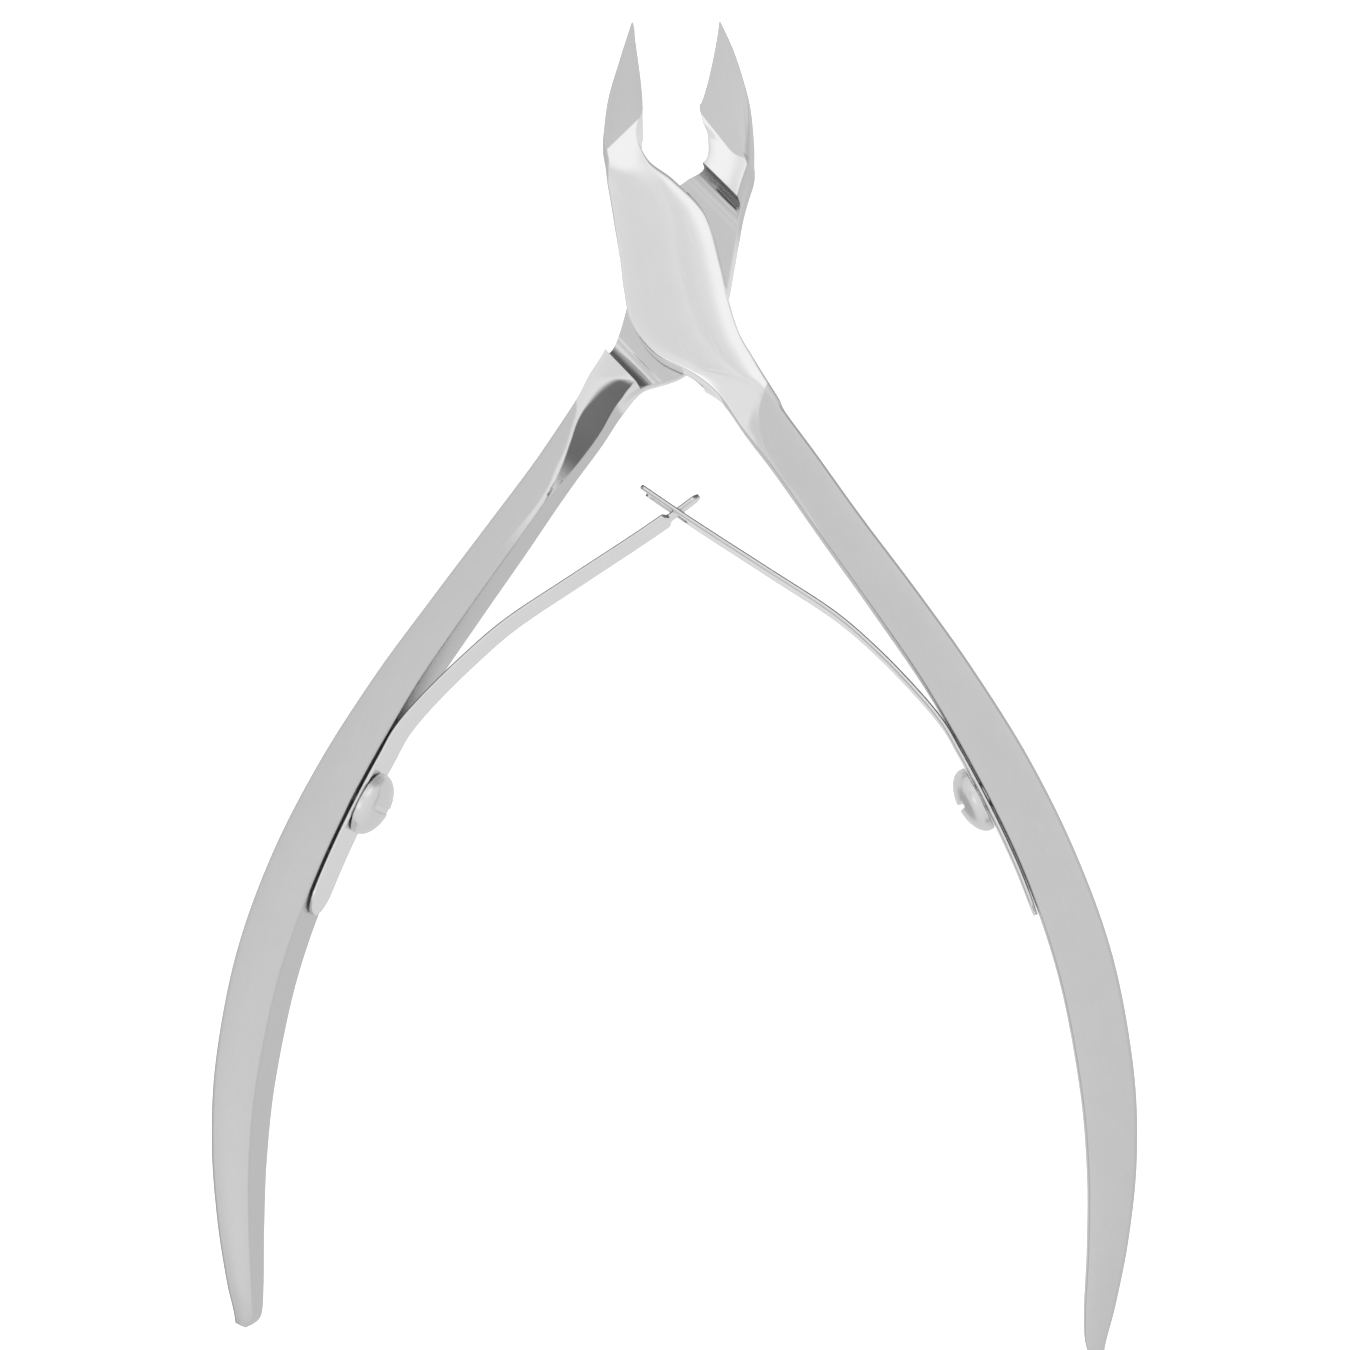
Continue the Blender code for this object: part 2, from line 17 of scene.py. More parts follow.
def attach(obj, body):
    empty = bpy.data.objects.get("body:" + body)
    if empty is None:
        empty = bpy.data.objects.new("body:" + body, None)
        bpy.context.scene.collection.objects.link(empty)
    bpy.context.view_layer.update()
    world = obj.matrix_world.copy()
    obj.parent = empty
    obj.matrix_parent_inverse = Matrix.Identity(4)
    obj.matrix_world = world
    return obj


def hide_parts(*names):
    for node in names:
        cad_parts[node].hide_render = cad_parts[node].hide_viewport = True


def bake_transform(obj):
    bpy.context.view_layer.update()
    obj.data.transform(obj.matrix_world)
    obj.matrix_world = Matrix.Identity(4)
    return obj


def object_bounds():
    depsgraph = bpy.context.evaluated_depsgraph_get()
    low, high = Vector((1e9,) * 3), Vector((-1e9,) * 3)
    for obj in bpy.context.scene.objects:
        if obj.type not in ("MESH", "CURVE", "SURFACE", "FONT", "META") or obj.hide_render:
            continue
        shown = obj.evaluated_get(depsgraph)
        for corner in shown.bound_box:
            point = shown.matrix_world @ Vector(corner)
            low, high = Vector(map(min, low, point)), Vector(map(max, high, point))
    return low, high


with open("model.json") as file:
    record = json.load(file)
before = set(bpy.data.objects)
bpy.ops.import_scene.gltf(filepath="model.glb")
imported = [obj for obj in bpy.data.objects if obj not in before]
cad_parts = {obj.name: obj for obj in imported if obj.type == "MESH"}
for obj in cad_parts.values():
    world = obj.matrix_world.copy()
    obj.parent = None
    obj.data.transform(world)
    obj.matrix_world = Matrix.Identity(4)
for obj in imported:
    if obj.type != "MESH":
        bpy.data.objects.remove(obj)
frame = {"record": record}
cad_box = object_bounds()
joints = {joint["name"]: joint for joint in frame["record"]["behaviour"]["joints"]}
PIVOT = Vector(joints["main_pivot"]["pos_m"])

MM = 0.001

# Joint
DEPTH = (cad_box[1].z - cad_box[0].z) / MM
HALF = DEPTH / 2
LAP_GAP = 0.05
NEAR_REACH = 7.55
FAR_REACH = 8.28
STEP_RISE = 1.25
NEAR_FILLET = 1.4
FAR_FILLET = 1.35
RECESS_LINES = (-6.0, 6.75)
RECESS_DROP = 0.045
RECESS_BLEND = 0.16
CUTTER_SPARE = 0.5

# Pivot screw, fitted from the back
SHANK_RADIUS = 1.75
HEAD_RADIUS = 2.9
THREAD_RADIUS = 1.3
CONE_DEPTH = 1.15
SCREW_REACH = 1.75
PIVOT_SLOT = (0.7, 0.6)
PIVOT_SLOT_TURN = 30.0
HEAD_SINK = 0.05
LEAD_IN = 0.1
HEAD_EDGE = 0.08
FIT_GAP = 0.04

# Leaf springs
LEAF_THICKNESS = 0.35
LEAF_FOOT_WIDTH = 4.2
LEAF_TIP_WIDTH = 3.7
LEAF_SEAT_GAP = 0.12
LEAF_FOOT_END = 57.0
LEAF_TAPER_START = 46.0
LEAF_TAPER_END = 17.0
LEAF_SEATED = (LEAF_FOOT_END, 53.5, 50.0, 46.5, 43.5)
LEAF_SPLITS = {"fork": 18.6, "tongue": 18.1}
LEAF_EDGE = 0.10
FORK_SLOT_WIDTH = 1.9
TONGUE_WIDTH = 1.5
TONGUE_SHOULDER = 0.45
LEAF_SAMPLES = 1600
LEAF_ROW_STEP = 0.28
LEAF_LEAST_STEP = 0.004
LEAF_FINE_TIP = 0.8
LEAF_COLUMNS = 8
LEAST_SHARE = 0.16
SPRING_SCREW_ALONG = 47.2

# Free part of each leaf in its handle's axes: distance from the pivot, offset outward.
RIGHT_LEAF_CURVE = (
    (41.0, 6.68), (38.0, 5.75), (34.0, 4.17), (30.0, 2.15), (25.0, -1.25),
    (20.5, -4.35), (17.6, -6.30), (14.9, -8.05),
)
LEFT_LEAF_CURVE = (
    (41.0, 6.63), (38.0, 5.60), (34.0, 3.80), (30.0, 1.65), (25.0, -1.90),
    (20.5, -5.15), (17.6, -7.15), (15.3, -8.60),
)

# Spring screws
DOME_RADIUS = 2.57
DOME_HEIGHT = 1.75
DOME_RIM = 0.3
DOME_END = 87.0
DOME_SHANK_RADIUS = 1.1
DOME_SHANK_LENGTH = 2.7
DOME_SLOT = (0.55, 0.45)

# Cutters reach this far past the part.
CUTTER_REACH = 12.0
STEP_CUTTER_LENGTH = 60.0
SLOT_CUTTER_LENGTH = 8.0
SLOT_CUTTER_RISE = 5.0

# Mesh density
HEAD_STEPS = 14
HANDLE_STEPS = 9
FLAT_STEPS = 14
ROUND_STEPS = 9
SIDE_STEPS = 4
FILLET_STEPS = 16
RECESS_STEPS = 8
DOME_STEPS = 26
FINE_STEPS = 14
TURNED_SEGMENTS = 128
SHARP_ANGLE = math.radians(28)

# Stations of each lever from the tip down to the start of its handle. A station is
# the left point, the right point, and the undercut behind the cutting edge.
FRONT_STATIONS = (
    ((-3.12, 21.80), (-2.96, 21.90), 0.10),
    ((-4.00, 18.60), (-2.51, 19.30), 0.50),
    ((-4.90, 15.20), (-2.11, 16.40), 0.80),
    ((-5.25, 12.20), (-1.94, 14.30), 0.80),
    ((-5.30, 10.80), (-1.97, 13.60), 0.70),
    ((-5.20, 10.00), (-2.30, 12.70), 0.40),
    ((-5.05, 9.20), (-2.35, 11.50), 0.20),
    ((-4.75, 7.60), (-1.40, 9.50), 0.0),
    ((-4.45, 5.90), (0.60, 7.80), 0.0),
    ((-4.10, 3.70), (3.00, 5.00), 0.0),
    ((-3.70, 1.20), (4.15, 1.00), 0.0),
    ((-3.40, -1.20), (4.90, -2.30), 0.0),
    ((-2.75, -4.00), (5.75, -4.90), 0.0),
    ((-0.90, -6.40), (6.85, -6.90), 0.0),
    ((1.90, -8.00), (7.95, -8.80), 0.0),
    ((4.05, -9.80), (8.90, -10.40), 0.0),
)
REAR_STATIONS = (
    ((4.04, 21.55), (4.18, 21.45), 0.10),
    ((3.72, 19.20), (5.35, 18.60), 0.50),
    ((3.22, 16.20), (6.30, 15.20), 0.80),
    ((2.80, 14.40), (6.60, 12.00), 0.80),
    ((2.60, 13.90), (6.60, 10.20), 0.70),
    ((2.85, 12.60), (6.63, 9.40), 0.40),
    ((3.25, 11.40), (6.52, 8.70), 0.20),
    ((3.10, 9.35), (6.05, 7.20), 0.0),
    ((1.15, 8.40), (5.65, 5.70), 0.0),
    ((-1.90, 5.70), (5.30, 3.80), 0.0),
    ((-3.10, 1.90), (4.90, 1.50), 0.0),
    ((-3.45, -1.30), (4.40, -1.10), 0.0),
    ((-4.15, -4.00), (3.40, -4.40), 0.0),
    ((-4.95, -6.00), (1.25, -7.35), 0.0),
    ((-6.12, -7.85), (-2.10, -8.48), 0.0),
    ((-7.15, -9.72), (-4.05, -9.95), 0.0),
)

# Stations of each handle, in its own axes: distance from the pivot, inner face, outer
# side, depth.
FRONT_HANDLE_STATIONS = (
    (14.0, 1.02, 4.62, 4.6),
    (18.0, 2.10, 5.60, 4.4),
    (24.0, 3.45, 6.98, 4.5),
    (31.0, 5.08, 8.75, 4.8),
    (38.0, 6.55, 10.33, 5.0),
    (46.0, 7.60, 11.65, 5.1),
    (54.0, 8.05, 12.15, 5.1),
    (62.0, 7.50, 11.72, 5.1),
    (70.0, 5.85, 9.98, 5.0),
    (76.0, 3.95, 7.73, 4.6),
    (81.0, 1.85, 5.05, 3.9),
    (85.0, -0.05, 2.42, 3.1),
    (87.3, -0.90, 0.70, 2.4),
    (88.3, -0.65, 0.05, 1.9),
)
REAR_HANDLE_STATIONS = (
    (14.0, 0.70, 3.58, 4.6),
    (18.0, 1.75, 4.52, 4.4),
    (24.0, 3.16, 6.16, 4.5),
    (31.0, 4.86, 8.06, 4.8),
    (38.0, 6.42, 9.87, 5.0),
    (46.0, 7.55, 11.38, 5.1),
    (54.0, 8.02, 12.08, 5.1),
    (62.0, 7.68, 11.70, 5.1),
    (70.0, 6.22, 10.00, 5.0),
    (76.0, 4.40, 7.82, 4.6),
    (81.0, 2.38, 5.32, 3.9),
    (85.0, 0.58, 2.92, 3.1),
    (87.0, -0.20, 1.55, 2.4),
    (87.9, 0.10, 1.05, 1.9),
)
HANDLE_CROWN = 0.06
LAP_CROWN = 0.08
LAST_HEAD_DEPTH = 4.9

# Roundings of a side: how far across, and the share of half the depth.
JOINT_ROUND = (0.12, 0.12)
INNER_ROUND = (0.12, 0.06)
OUTER_ROUND = (0.35, 0.20)
EDGE_ROUND = (0.03, 0.03)
LAP_WIDE_ROUNDS = (
    (-10.4, 1.0), (-8.8, 2.0), (-6.0, 3.0), (1.5, 3.2), (5.0, 2.4), (8.0, 1.0),
    (10.0, 0.12),
)
LAP_WIDE_SHARE = 0.15
HEEL_BACK_ROUND = (1.50, 0.90)
HEEL_SPAN = (-9.0, -4.0)
JAW_FROM = 9.0

# Line where the polished hollow of the plain face meets the satin handle, and how
# deep the hollow is along the handle: distance from the pivot, then the value.
PLAIN_RIDGE = (
    (10.7, 4.64), (11.67, 3.85), (13.5, 2.55), (14.7, 2.23), (17.7, 2.29), (21.0, 3.05),
    (23.8, 3.61), (26.0, 4.10),
)
PLAIN_DEPTHS = ((10.0, 0.0), (11.5, 0.08), (14.0, 0.34), (20.0, 0.34), (25.0, 0.0))
PLAIN_FALL = 0.9

# The same for the step face, whose hollow cuts deep into the inner corner.
STEP_RIDGE = (
    (8.70, -2.50), (8.98, -0.20), (9.75, 0.95), (11.81, 1.92), (13.2, 2.21),
    (15.1, 2.15), (17.1, 2.09), (19.0, 2.22), (20.6, 2.62), (22.4, 3.10),
)
STEP_SATIN = (
    (11.4, 3.60), (11.8, 3.05), (12.6, 2.64), (14.2, 2.48), (15.8, 2.35), (17.3, 2.44),
    (19.4, 2.52), (22.4, 3.30),
)
STEP_DEPTHS = (
    (8.9, 0.0), (9.3, 0.60), (10.1, 1.20), (11.3, 1.50), (14.0, 1.50), (16.5, 1.30),
    (18.3, 0.80), (19.8, 0.30), (21.2, 0.0),
)
STEP_EDGE = ((8.9, -1.20), (10.2, -0.17), (11.3, 0.15), (14.0, 0.84), (18.0, 1.90), (24.0, 3.30))
STEP_LEAST_WIDTH = 0.25

# Rows of points follow a ridge from before its first point to past its last one, and
# keep this share of their width clear of their corners.
RIDGE_BEFORE = 2.0
RIDGE_PAST = 6.0
RIDGE_MARGIN = 0.06
HALVINGS = 24

# Ground slope of the jaws toward their tips: it starts lower on the step face.
PLAIN_SLOPE_START = 8.9
STEP_SLOPE_START = 6.3
JAW_SLOPE = math.tan(math.radians(5.2))
JAW_SLOPE_BLEND = 0.35

Lever = namedtuple(
    "Lever",
    "name body side angle stations handle leaf step_angle facet band jaw_round",
)

# side is +1 for the lever with the right handle, the left jaw and its plain face in
# front, and -1 for the other. facet is the satin plane of the jaw: its heel, its outer
# end and its tip, each with its height above the lap plane. band is a second plane.
FRONT_LEVER = Lever(
    name="front_lever",
    body="front_half",
    side=1,
    angle=21.2,
    stations=FRONT_STATIONS,
    handle=FRONT_HANDLE_STATIONS,
    leaf=RIGHT_LEAF_CURVE,
    step_angle=137.5,
    facet=((-1.84, 13.50, 2.18), (-4.80, 10.60, 2.44), (-3.04, 21.85, 0.62)),
    band=None,
    jaw_round=(0.60, 0.55),
)
REAR_LEVER = Lever(
    name="rear_lever",
    body="rear_half",
    side=-1,
    angle=-21.8,
    stations=REAR_STATIONS,
    handle=REAR_HANDLE_STATIONS,
    leaf=LEFT_LEAF_CURVE,
    step_angle=42.5,
    facet=((2.71, 13.23, 1.98), (4.83, 10.40, 2.23), (4.11, 21.50, 0.62)),
    band=((4.86, 20.15, 0.86), (5.30, 11.25, 2.24), (6.50, 14.20, 1.42)),
    jaw_round=(1.30, 0.24),
)

# Camera, from the pivot
CAMERA_PLACE = Vector((25.19, -56.42, 176.55))
CAMERA_AIM = Vector((0.37, -31.60, 0.0))
CAMERA_LENS = 61.54
CAMERA_SENSOR = 36.0


# Shared helpers


def spline(values, position):
    """Catmull-Rom value at a position counted in stations."""
    last = len(values) - 1
    start = min(int(position), last - 1)
    t = position - start
    before, first, second, after = (
        values[min(max(i, 0), last)] for i in range(start - 1, start + 3)
    )
    slope_first = (second - before) / 2
    slope_second = (after - first) / 2
    return (
        first * (2 * t**3 - 3 * t**2 + 1)
        + slope_first * (t**3 - 2 * t**2 + t)
        + second * (3 * t**2 - 2 * t**3)
        + slope_second * (t**3 - t**2)
    )


def linear(values, position):
    start = min(int(position), len(values) - 2)
    t = position - start
    return values[start] * (1 - t) + values[start + 1] * t


def curve_value(points, place):
    """Value at a place along a list of (place, value), held constant past its ends."""
    if place <= points[0][0]:
        return points[0][1]
    if place >= points[-1][0]:
        return points[-1][1]
    index = max(i for i, point in enumerate(points) if point[0] <= place)
    before, after = points[index], points[index + 1]
    t = (place - before[0]) / (after[0] - before[0])
    return spline([value for _, value in points], index + t)


def handle_axes(lever):
    """Unit vectors along the handle and outward from it."""
    turn = math.radians(lever.angle)
    along = Vector((math.sin(turn), -math.cos(turn)))
    outward = Vector((math.cos(turn), math.sin(turn))) * lever.side
    return along, outward


def inner_face(lever, distance):
    """Offset of the handle's inner face at that distance from the pivot."""
    return curve_value([row[:2] for row in lever.handle], distance)


def softplus(value, blend):
    """Zero below 0 and the value itself above, with a smooth turn between them."""
    if value > 20 * blend:
        return value
    return blend * math.log1p(math.exp(value / blend))


def ease(share):
    """Smooth rise from 0 to 1."""
    return share * share * (3 - 2 * share)


def arc_points(centre, radii, start, end, steps):
    points = []
    for i in range(steps + 1):
        angle = math.radians(start + (end - start) * i / steps)
        x = centre[0] + radii[0] * math.cos(angle)
        y = centre[1] + radii[1] * math.sin(angle)
        points.append((x, y))
    return points


def new_mesh_object(name, bm):
    """Turns a bmesh in millimetres about the pivot into an object in the frame."""
    bmesh.ops.scale(bm, vec=(MM, MM, MM), verts=bm.verts)
    bmesh.ops.translate(bm, vec=PIVOT, verts=bm.verts)
    bmesh.ops.recalc_face_normals(bm, faces=bm.faces)
    mesh = bpy.data.meshes.new(name)
    bm.to_mesh(mesh)
    bm.free()
    obj = bpy.data.objects.new(name, mesh)
    bpy.context.scene.collection.objects.link(obj)
    return obj


def cut(obj, cutters):
    """Cuts the cutters out of the object, for good, and removes them."""
    for cutter in cutters:
        modifier = obj.modifiers.new(cutter.name, "BOOLEAN")
        modifier.operation = "DIFFERENCE"
        modifier.solver = "EXACT"
        modifier.object = cutter
    graph = bpy.context.evaluated_depsgraph_get()
    mesh = bpy.data.meshes.new_from_object(obj.evaluated_get(graph))
    if len(mesh.vertices) < len(obj.data.vertices) / 2:
        raise RuntimeError(f"cutting {obj.name} left {len(mesh.vertices)} vertices")
    obj.modifiers.clear()
    obj.data = mesh
    for cutter in cutters:
        bpy.data.objects.remove(cutter, do_unlink=True)


def finish_piece(obj, material, slot, body, *nodes):
    obj.data.shade_smooth()
    obj.data.set_sharp_from_angle(angle=SHARP_ANGLE)
    obj.data.materials.clear()
    obj.data.materials.append(material)
    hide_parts(*nodes)
    if body:
        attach(obj, body)


# Levers


def along_handle(lever, place):
    """Distance from the pivot along the handle, and offset outward from it."""
    along, outward = handle_axes(lever)
    return place.dot(along), place.dot(outward)


def step_hollow(lever, place):
    """Depth of the hollow ground into the inner corner of the step face."""
    distance, offset = along_handle(lever, place)
    if not STEP_DEPTHS[0][0] - 1 < distance < STEP_DEPTHS[-1][0]:
        return 0.0
    ridge = curve_value(STEP_RIDGE, distance)
    width = max(ridge - curve_value(STEP_EDGE, distance), STEP_LEAST_WIDTH)
    share = min((ridge - offset) / width, 1.0)
    return curve_value(STEP_DEPTHS, distance) * max(share, 0.0)


def plain_hollow(lever, place):
    """Depth of the shallow polished hollow of the plain face."""
    distance, offset = along_handle(lever, place)
    if not PLAIN_DEPTHS[0][0] < distance < PLAIN_DEPTHS[-1][0]:
        return 0.0
    inside = curve_value(PLAIN_RIDGE, distance) - offset
    if inside <= 0:
        return 0.0
    limit = curve_value(PLAIN_DEPTHS, distance)
    return limit * (1 - math.exp(-inside / PLAIN_FALL))


def face_drop(lever, place, facing):
    """How far a face lies below its flat level, at a place in plan."""
    if facing == lever.side:
        start, hollow = PLAIN_SLOPE_START, plain_hollow
    else:
        start, hollow = STEP_SLOPE_START, step_hollow
    return JAW_SLOPE * softplus(place.y - start, JAW_SLOPE_BLEND) + hollow(lever, place)


def crossing(beyond, low, high):
    """Where a function changes sign between two places, found by halving."""
    first = beyond(low)
    for _ in range(HALVINGS):
        guess = (low + high) / 2
        if beyond(guess) * first > 0:
            low = guess
        else:
            high = guess
    return (low + high) / 2


def face_ridge(lever, left, direction, start, end, facing):
    """Where the hollow's ridge crosses a row of points, kept between start and end."""
    ridge = PLAIN_RIDGE if facing == lever.side else STEP_RIDGE
    margin = RIDGE_MARGIN * (end - start)
    low, high = start + margin, end - margin
    middle = (start + end) / 2
    distance, _ = along_handle(lever, left + direction * middle)
    if not ridge[0][0] - RIDGE_BEFORE < distance < ridge[-1][0] + RIDGE_PAST:
        return middle

    def beyond(across):
        distance, offset = along_handle(lever, left + direction * across)
        return offset - curve_value(ridge, distance)

    if beyond(low) * beyond(high) >= 0:
        return min(low, high, key=lambda across: abs(beyond(across)))
    return crossing(beyond, low, high)


def flat_points(start, end, ridge, depth, crown):
    """Points between two corners of a face, one of them on its ridge."""
    points = []
    for from_across, to_across in ((start, ridge), (ridge, end)):
        first = 1 if from_across == start else 0
        for i in range(first, FLAT_STEPS):
            across = from_across + (to_across - from_across) * i / FLAT_STEPS
            share = (across - start) / (end - start)
            bow = crown * 4 * share * (1 - share)
            points.append((across, depth + math.copysign(bow, depth)))
    return points


def side_points(across, start, end):
    return [
        (across, start + (end - start) * i / (SIDE_STEPS + 1))
        for i in range(1, SIDE_STEPS + 1)
    ]


def section(station, lever):
    """Closed loop of (across, depth) points from the left rail to the right rail."""
    width = station["width"]
    half = station["depth"] / 2
    crown = station["crown"]
    top = half - crown
    rounds = [
        (min(station[key][0], 0.45 * width), min(station[key][1], 0.9) * half)
        for key in ("left_front", "right_front", "right_back", "left_back")
    ]
    (lf, lf_depth), (rf, rf_depth), (rb, rb_depth), (lb, lb_depth) = rounds
    left, direction = station["left"], station["direction"]
    front_ridge = face_ridge(lever, left, direction, lf, width - rf, 1)
    back_ridge = face_ridge(lever, left, direction, lb, width - rb, -1)
    loop = flat_points(lf, width - rf, front_ridge, top, crown)
    loop += arc_points((width - rf, top - rf_depth), (rf, rf_depth), 90, 0, ROUND_STEPS)
    loop += side_points(width, top - rf_depth, rb_depth - top)
    loop += arc_points((width - rb, rb_depth - top), (rb, rb_depth), 0, -90, ROUND_STEPS)
    loop += flat_points(width - rb, lb, back_ridge, -top, crown)
    loop += arc_points((lb, lb_depth - top), (lb, lb_depth), 270, 180, ROUND_STEPS)
    loop += side_points(0.0, lb_depth - top, top - lf_depth)
    loop += arc_points((lf, top - lf_depth), (lf, lf_depth), 180, 90, ROUND_STEPS)
    return loop


def undercut(across, depth, station, side):
    """Leans the side that carries the cutting edge inward toward the back."""
    lean = station["undercut"] * (0.5 - depth / station["depth"])
    share = across / station["width"]
    if side > 0:
        return across - lean * share
    return across + lean * (1 - share)


def loft_row(ends, rounds, depth, lean, crown):
    """One station of a lever. ends and rounds are given from left to right."""
    row = {"left": Vector(ends[0]), "right": Vector(ends[1])}
    row.update(depth=depth, undercut=lean, crown=crown)
    for side, rounding in zip(("left", "right"), rounds):
        for face in ("front", "back"):
            row[f"{side}_{face}"] = Vector(rounding)
    return row


def in_order(lever, inner, outer):
    """The pair from left to right, for the handle's side of the nipper."""
    return (inner, outer) if lever.side > 0 else (outer, inner)


def shape_joint_rounds(row, lever):
    """Widens the roundings where the lap and the heel of the joint have soft edges."""
    in_front = lever.side > 0
    wide_side, wide_corner = ("right", "right_front") if in_front else ("left", "left_back")
    height = row[wide_side].y
    if height < LAP_WIDE_ROUNDS[-1][0]:
        row[wide_corner] = Vector((curve_value(LAP_WIDE_ROUNDS, height), LAP_WIDE_SHARE))
    if not in_front and HEEL_SPAN[0] < row["right"].y < HEEL_SPAN[1]:
        row["right_back"] = Vector(HEEL_BACK_ROUND)


def head_rows(lever):
    rows = []
    last = len(lever.stations) - 1
    for index, (left, right, lean) in enumerate(lever.stations):
        on_jaw = right[1] > JAW_FROM and left[1] > JAW_FROM
        inner, outer = (EDGE_ROUND, lever.jaw_round) if on_jaw else (JOINT_ROUND, JOINT_ROUND)
        rounds = in_order(lever, outer, inner)
        depth = DEPTH if index < last else LAST_HEAD_DEPTH
        row = loft_row((left, right), rounds, depth, lean, 0.0 if on_jaw else LAP_CROWN)
        shape_joint_rounds(row, lever)
        rows.append(row)
    return rows


def handle_rows(lever):
    along, outward = handle_axes(lever)
    rounds = in_order(lever, INNER_ROUND, OUTER_ROUND)
    rows = []
    for distance, inner, outer, depth in lever.handle:
        ends = [along * distance + outward * offset for offset in (inner, outer)]
        rows.append(loft_row(in_order(lever, *ends), rounds, depth, 0.0, HANDLE_CROWN))
    return rows


def row_positions(head_count, total):
    """Positions along the stations, closer together over the head."""
    positions = [i / HEAD_STEPS for i in range((head_count - 1) * HEAD_STEPS)]
    start = head_count - 1
    count = (total - head_count) * HANDLE_STEPS
    positions += [start + i / HANDLE_STEPS for i in range(count + 1)]
    return positions


def station_at(rows, position):
    station = {
        key: linear([row[key] for row in rows], position)
        for key in ("undercut", "crown", "left_front", "left_back", "right_front", "right_back")
    }
    left = spline([row["left"] for row in rows], position)
    right = spline([row["right"] for row in rows], position)
    station["left"] = left
    station["width"] = (right - left).length
    station["direction"] = (right - left).normalized()
    station["depth"] = min(spline([row["depth"] for row in rows], position), DEPTH)
    return station


def lowered(lever, place, depth, half):
    """Depth of a point once both faces have dropped from their flat levels."""
    toward_front = (depth + half) / (2 * half)
    front_drop = face_drop(lever, place, 1)
    back_drop = face_drop(lever, place, -1)
    return depth - front_drop * toward_front + back_drop * (1 - toward_front)


def lever_loft(lever):
    """Skins the stations of a lever from its tip to the end of its handle."""
    rows = head_rows(lever)
    head_count = len(rows)
    rows += handle_rows(lever)
    bm = bmesh.new()
    loops = []
    for position in row_positions(head_count, len(rows)):
        station = station_at(rows, position)
        loop = []
        for across, depth in section(station, lever):
            across = undercut(across, depth, station, lever.side)
            place = station["left"] + station["direction"] * across
            depth = lowered(lever, place, depth, station["depth"] / 2)
            loop.append(bm.verts.new((place.x, place.y, depth)))
        loops.append(loop)
    for first, second in zip(loops, loops[1:]):
        for i in range(len(first)):
            after = (i + 1) % len(first)
            bm.faces.new((first[i], first[after], second[after], second[i]))
    for end in (loops[0], loops[-1]):
        bm.faces.new(end)
    return bm


def ground_plane(points, facing):
    """A point and the outward normal of a plane ground on the jaw."""
    heel, outer, tip = (Vector((x, y, z * facing)) for x, y, z in points)
    normal = (outer - heel).cross(tip - heel).normalized()
    return heel, normal if normal.z * facing > 0 else -normal


def grind_jaw(bm, lever):
    ground = [points for points in (lever.facet, lever.band) if points]
    for facing, points in itertools.product((1, -1), ground):
        point, normal = ground_plane(points, facing)
        geometry = bm.verts[:] + bm.edges[:] + bm.faces[:]
        made = bmesh.ops.bisect_plane(
            bm, geom=geometry, plane_co=point, plane_no=normal, clear_outer=True
        )
        edges = [item for item in made["geom_cut"] if isinstance(item, bmesh.types.BMEdge)]
        bmesh.ops.contextual_create(bm, geom=edges)


def prism(outline, length, matrix):
    """Solid with that outline in its XY plane, centred on it, length long in Z."""
    bm = bmesh.new()
    bottom = [bm.verts.new((x, y, -length / 2)) for x, y in outline]
    face = bm.faces.new(bottom)
    grown = bmesh.ops.extrude_face_region(bm, geom=[face])
    top = [item for item in grown["geom"] if isinstance(item, bmesh.types.BMVert)]
    bmesh.ops.translate(bm, vec=(0, 0, length), verts=top)
    bmesh.ops.transform(bm, matrix=matrix, verts=bm.verts)
    return bm


def recess_line(place, drop_side):
    """Small smooth drop of the recess floor across a line, deeper on drop_side."""
    points = []
    for i in range(RECESS_STEPS + 1):
        share = i / RECESS_STEPS
        smooth = ease(share)
        across = place + RECESS_BLEND * (2 * share - 1)
        points.append((across, RECESS_DROP * (smooth if drop_side > 0 else 1 - smooth)))
    return points


def step_outline(facing):
    """Profile of the recess across the joint, from the near step to the far one."""
    near_line, far_line = RECESS_LINES
    near_radii, far_radii = (NEAR_FILLET, STEP_RISE), (FAR_FILLET, STEP_RISE)
    points = [(-NEAR_REACH, CUTTER_REACH)]
    points += arc_points((NEAR_FILLET - NEAR_REACH, STEP_RISE), near_radii, 180, 270, FILLET_STEPS)
    points += [(x, -depth) for x, depth in recess_line(near_line, 1)]
    points += [(x, -depth) for x, depth in recess_line(far_line, -1)]
    points += arc_points((FAR_REACH - FAR_FILLET, STEP_RISE), far_radii, 270, 360, FILLET_STEPS)
    points.append((FAR_REACH, CUTTER_REACH))
    floor = LAP_GAP / 2
    return [(x, facing * (y - floor)) for x, y in points]


def step_cutter(lever):
    """Removes one half of the joint between its two steps."""
    facing = -lever.side
    turn = Matrix.Rotation(math.radians(lever.step_angle), 4, "Z")
    turn = turn @ Matrix.Rotation(math.radians(90), 4, "X")
    return new_mesh_object(
        f"{lever.name}_step", prism(step_outline(facing), STEP_CUTTER_LENGTH, turn)
    )


def turned(profile, matrix):
    """Solid of revolution about Z from a profile that starts and ends on the axis."""
    bm = bmesh.new()
    verts = [bm.verts.new((radius, 0.0, height)) for radius, height in profile]
    edges = [bm.edges.new(pair) for pair in zip(verts, verts[1:])]
    bmesh.ops.spin(
        bm,
        geom=verts + edges,
        cent=(0, 0, 0),
        axis=(0, 0, 1),
        angle=math.tau,
        steps=TURNED_SEGMENTS,
        use_merge=True,
    )
    bmesh.ops.remove_doubles(bm, verts=bm.verts, dist=1e-4)
    bmesh.ops.transform(bm, matrix=matrix, verts=bm.verts)
    return bm


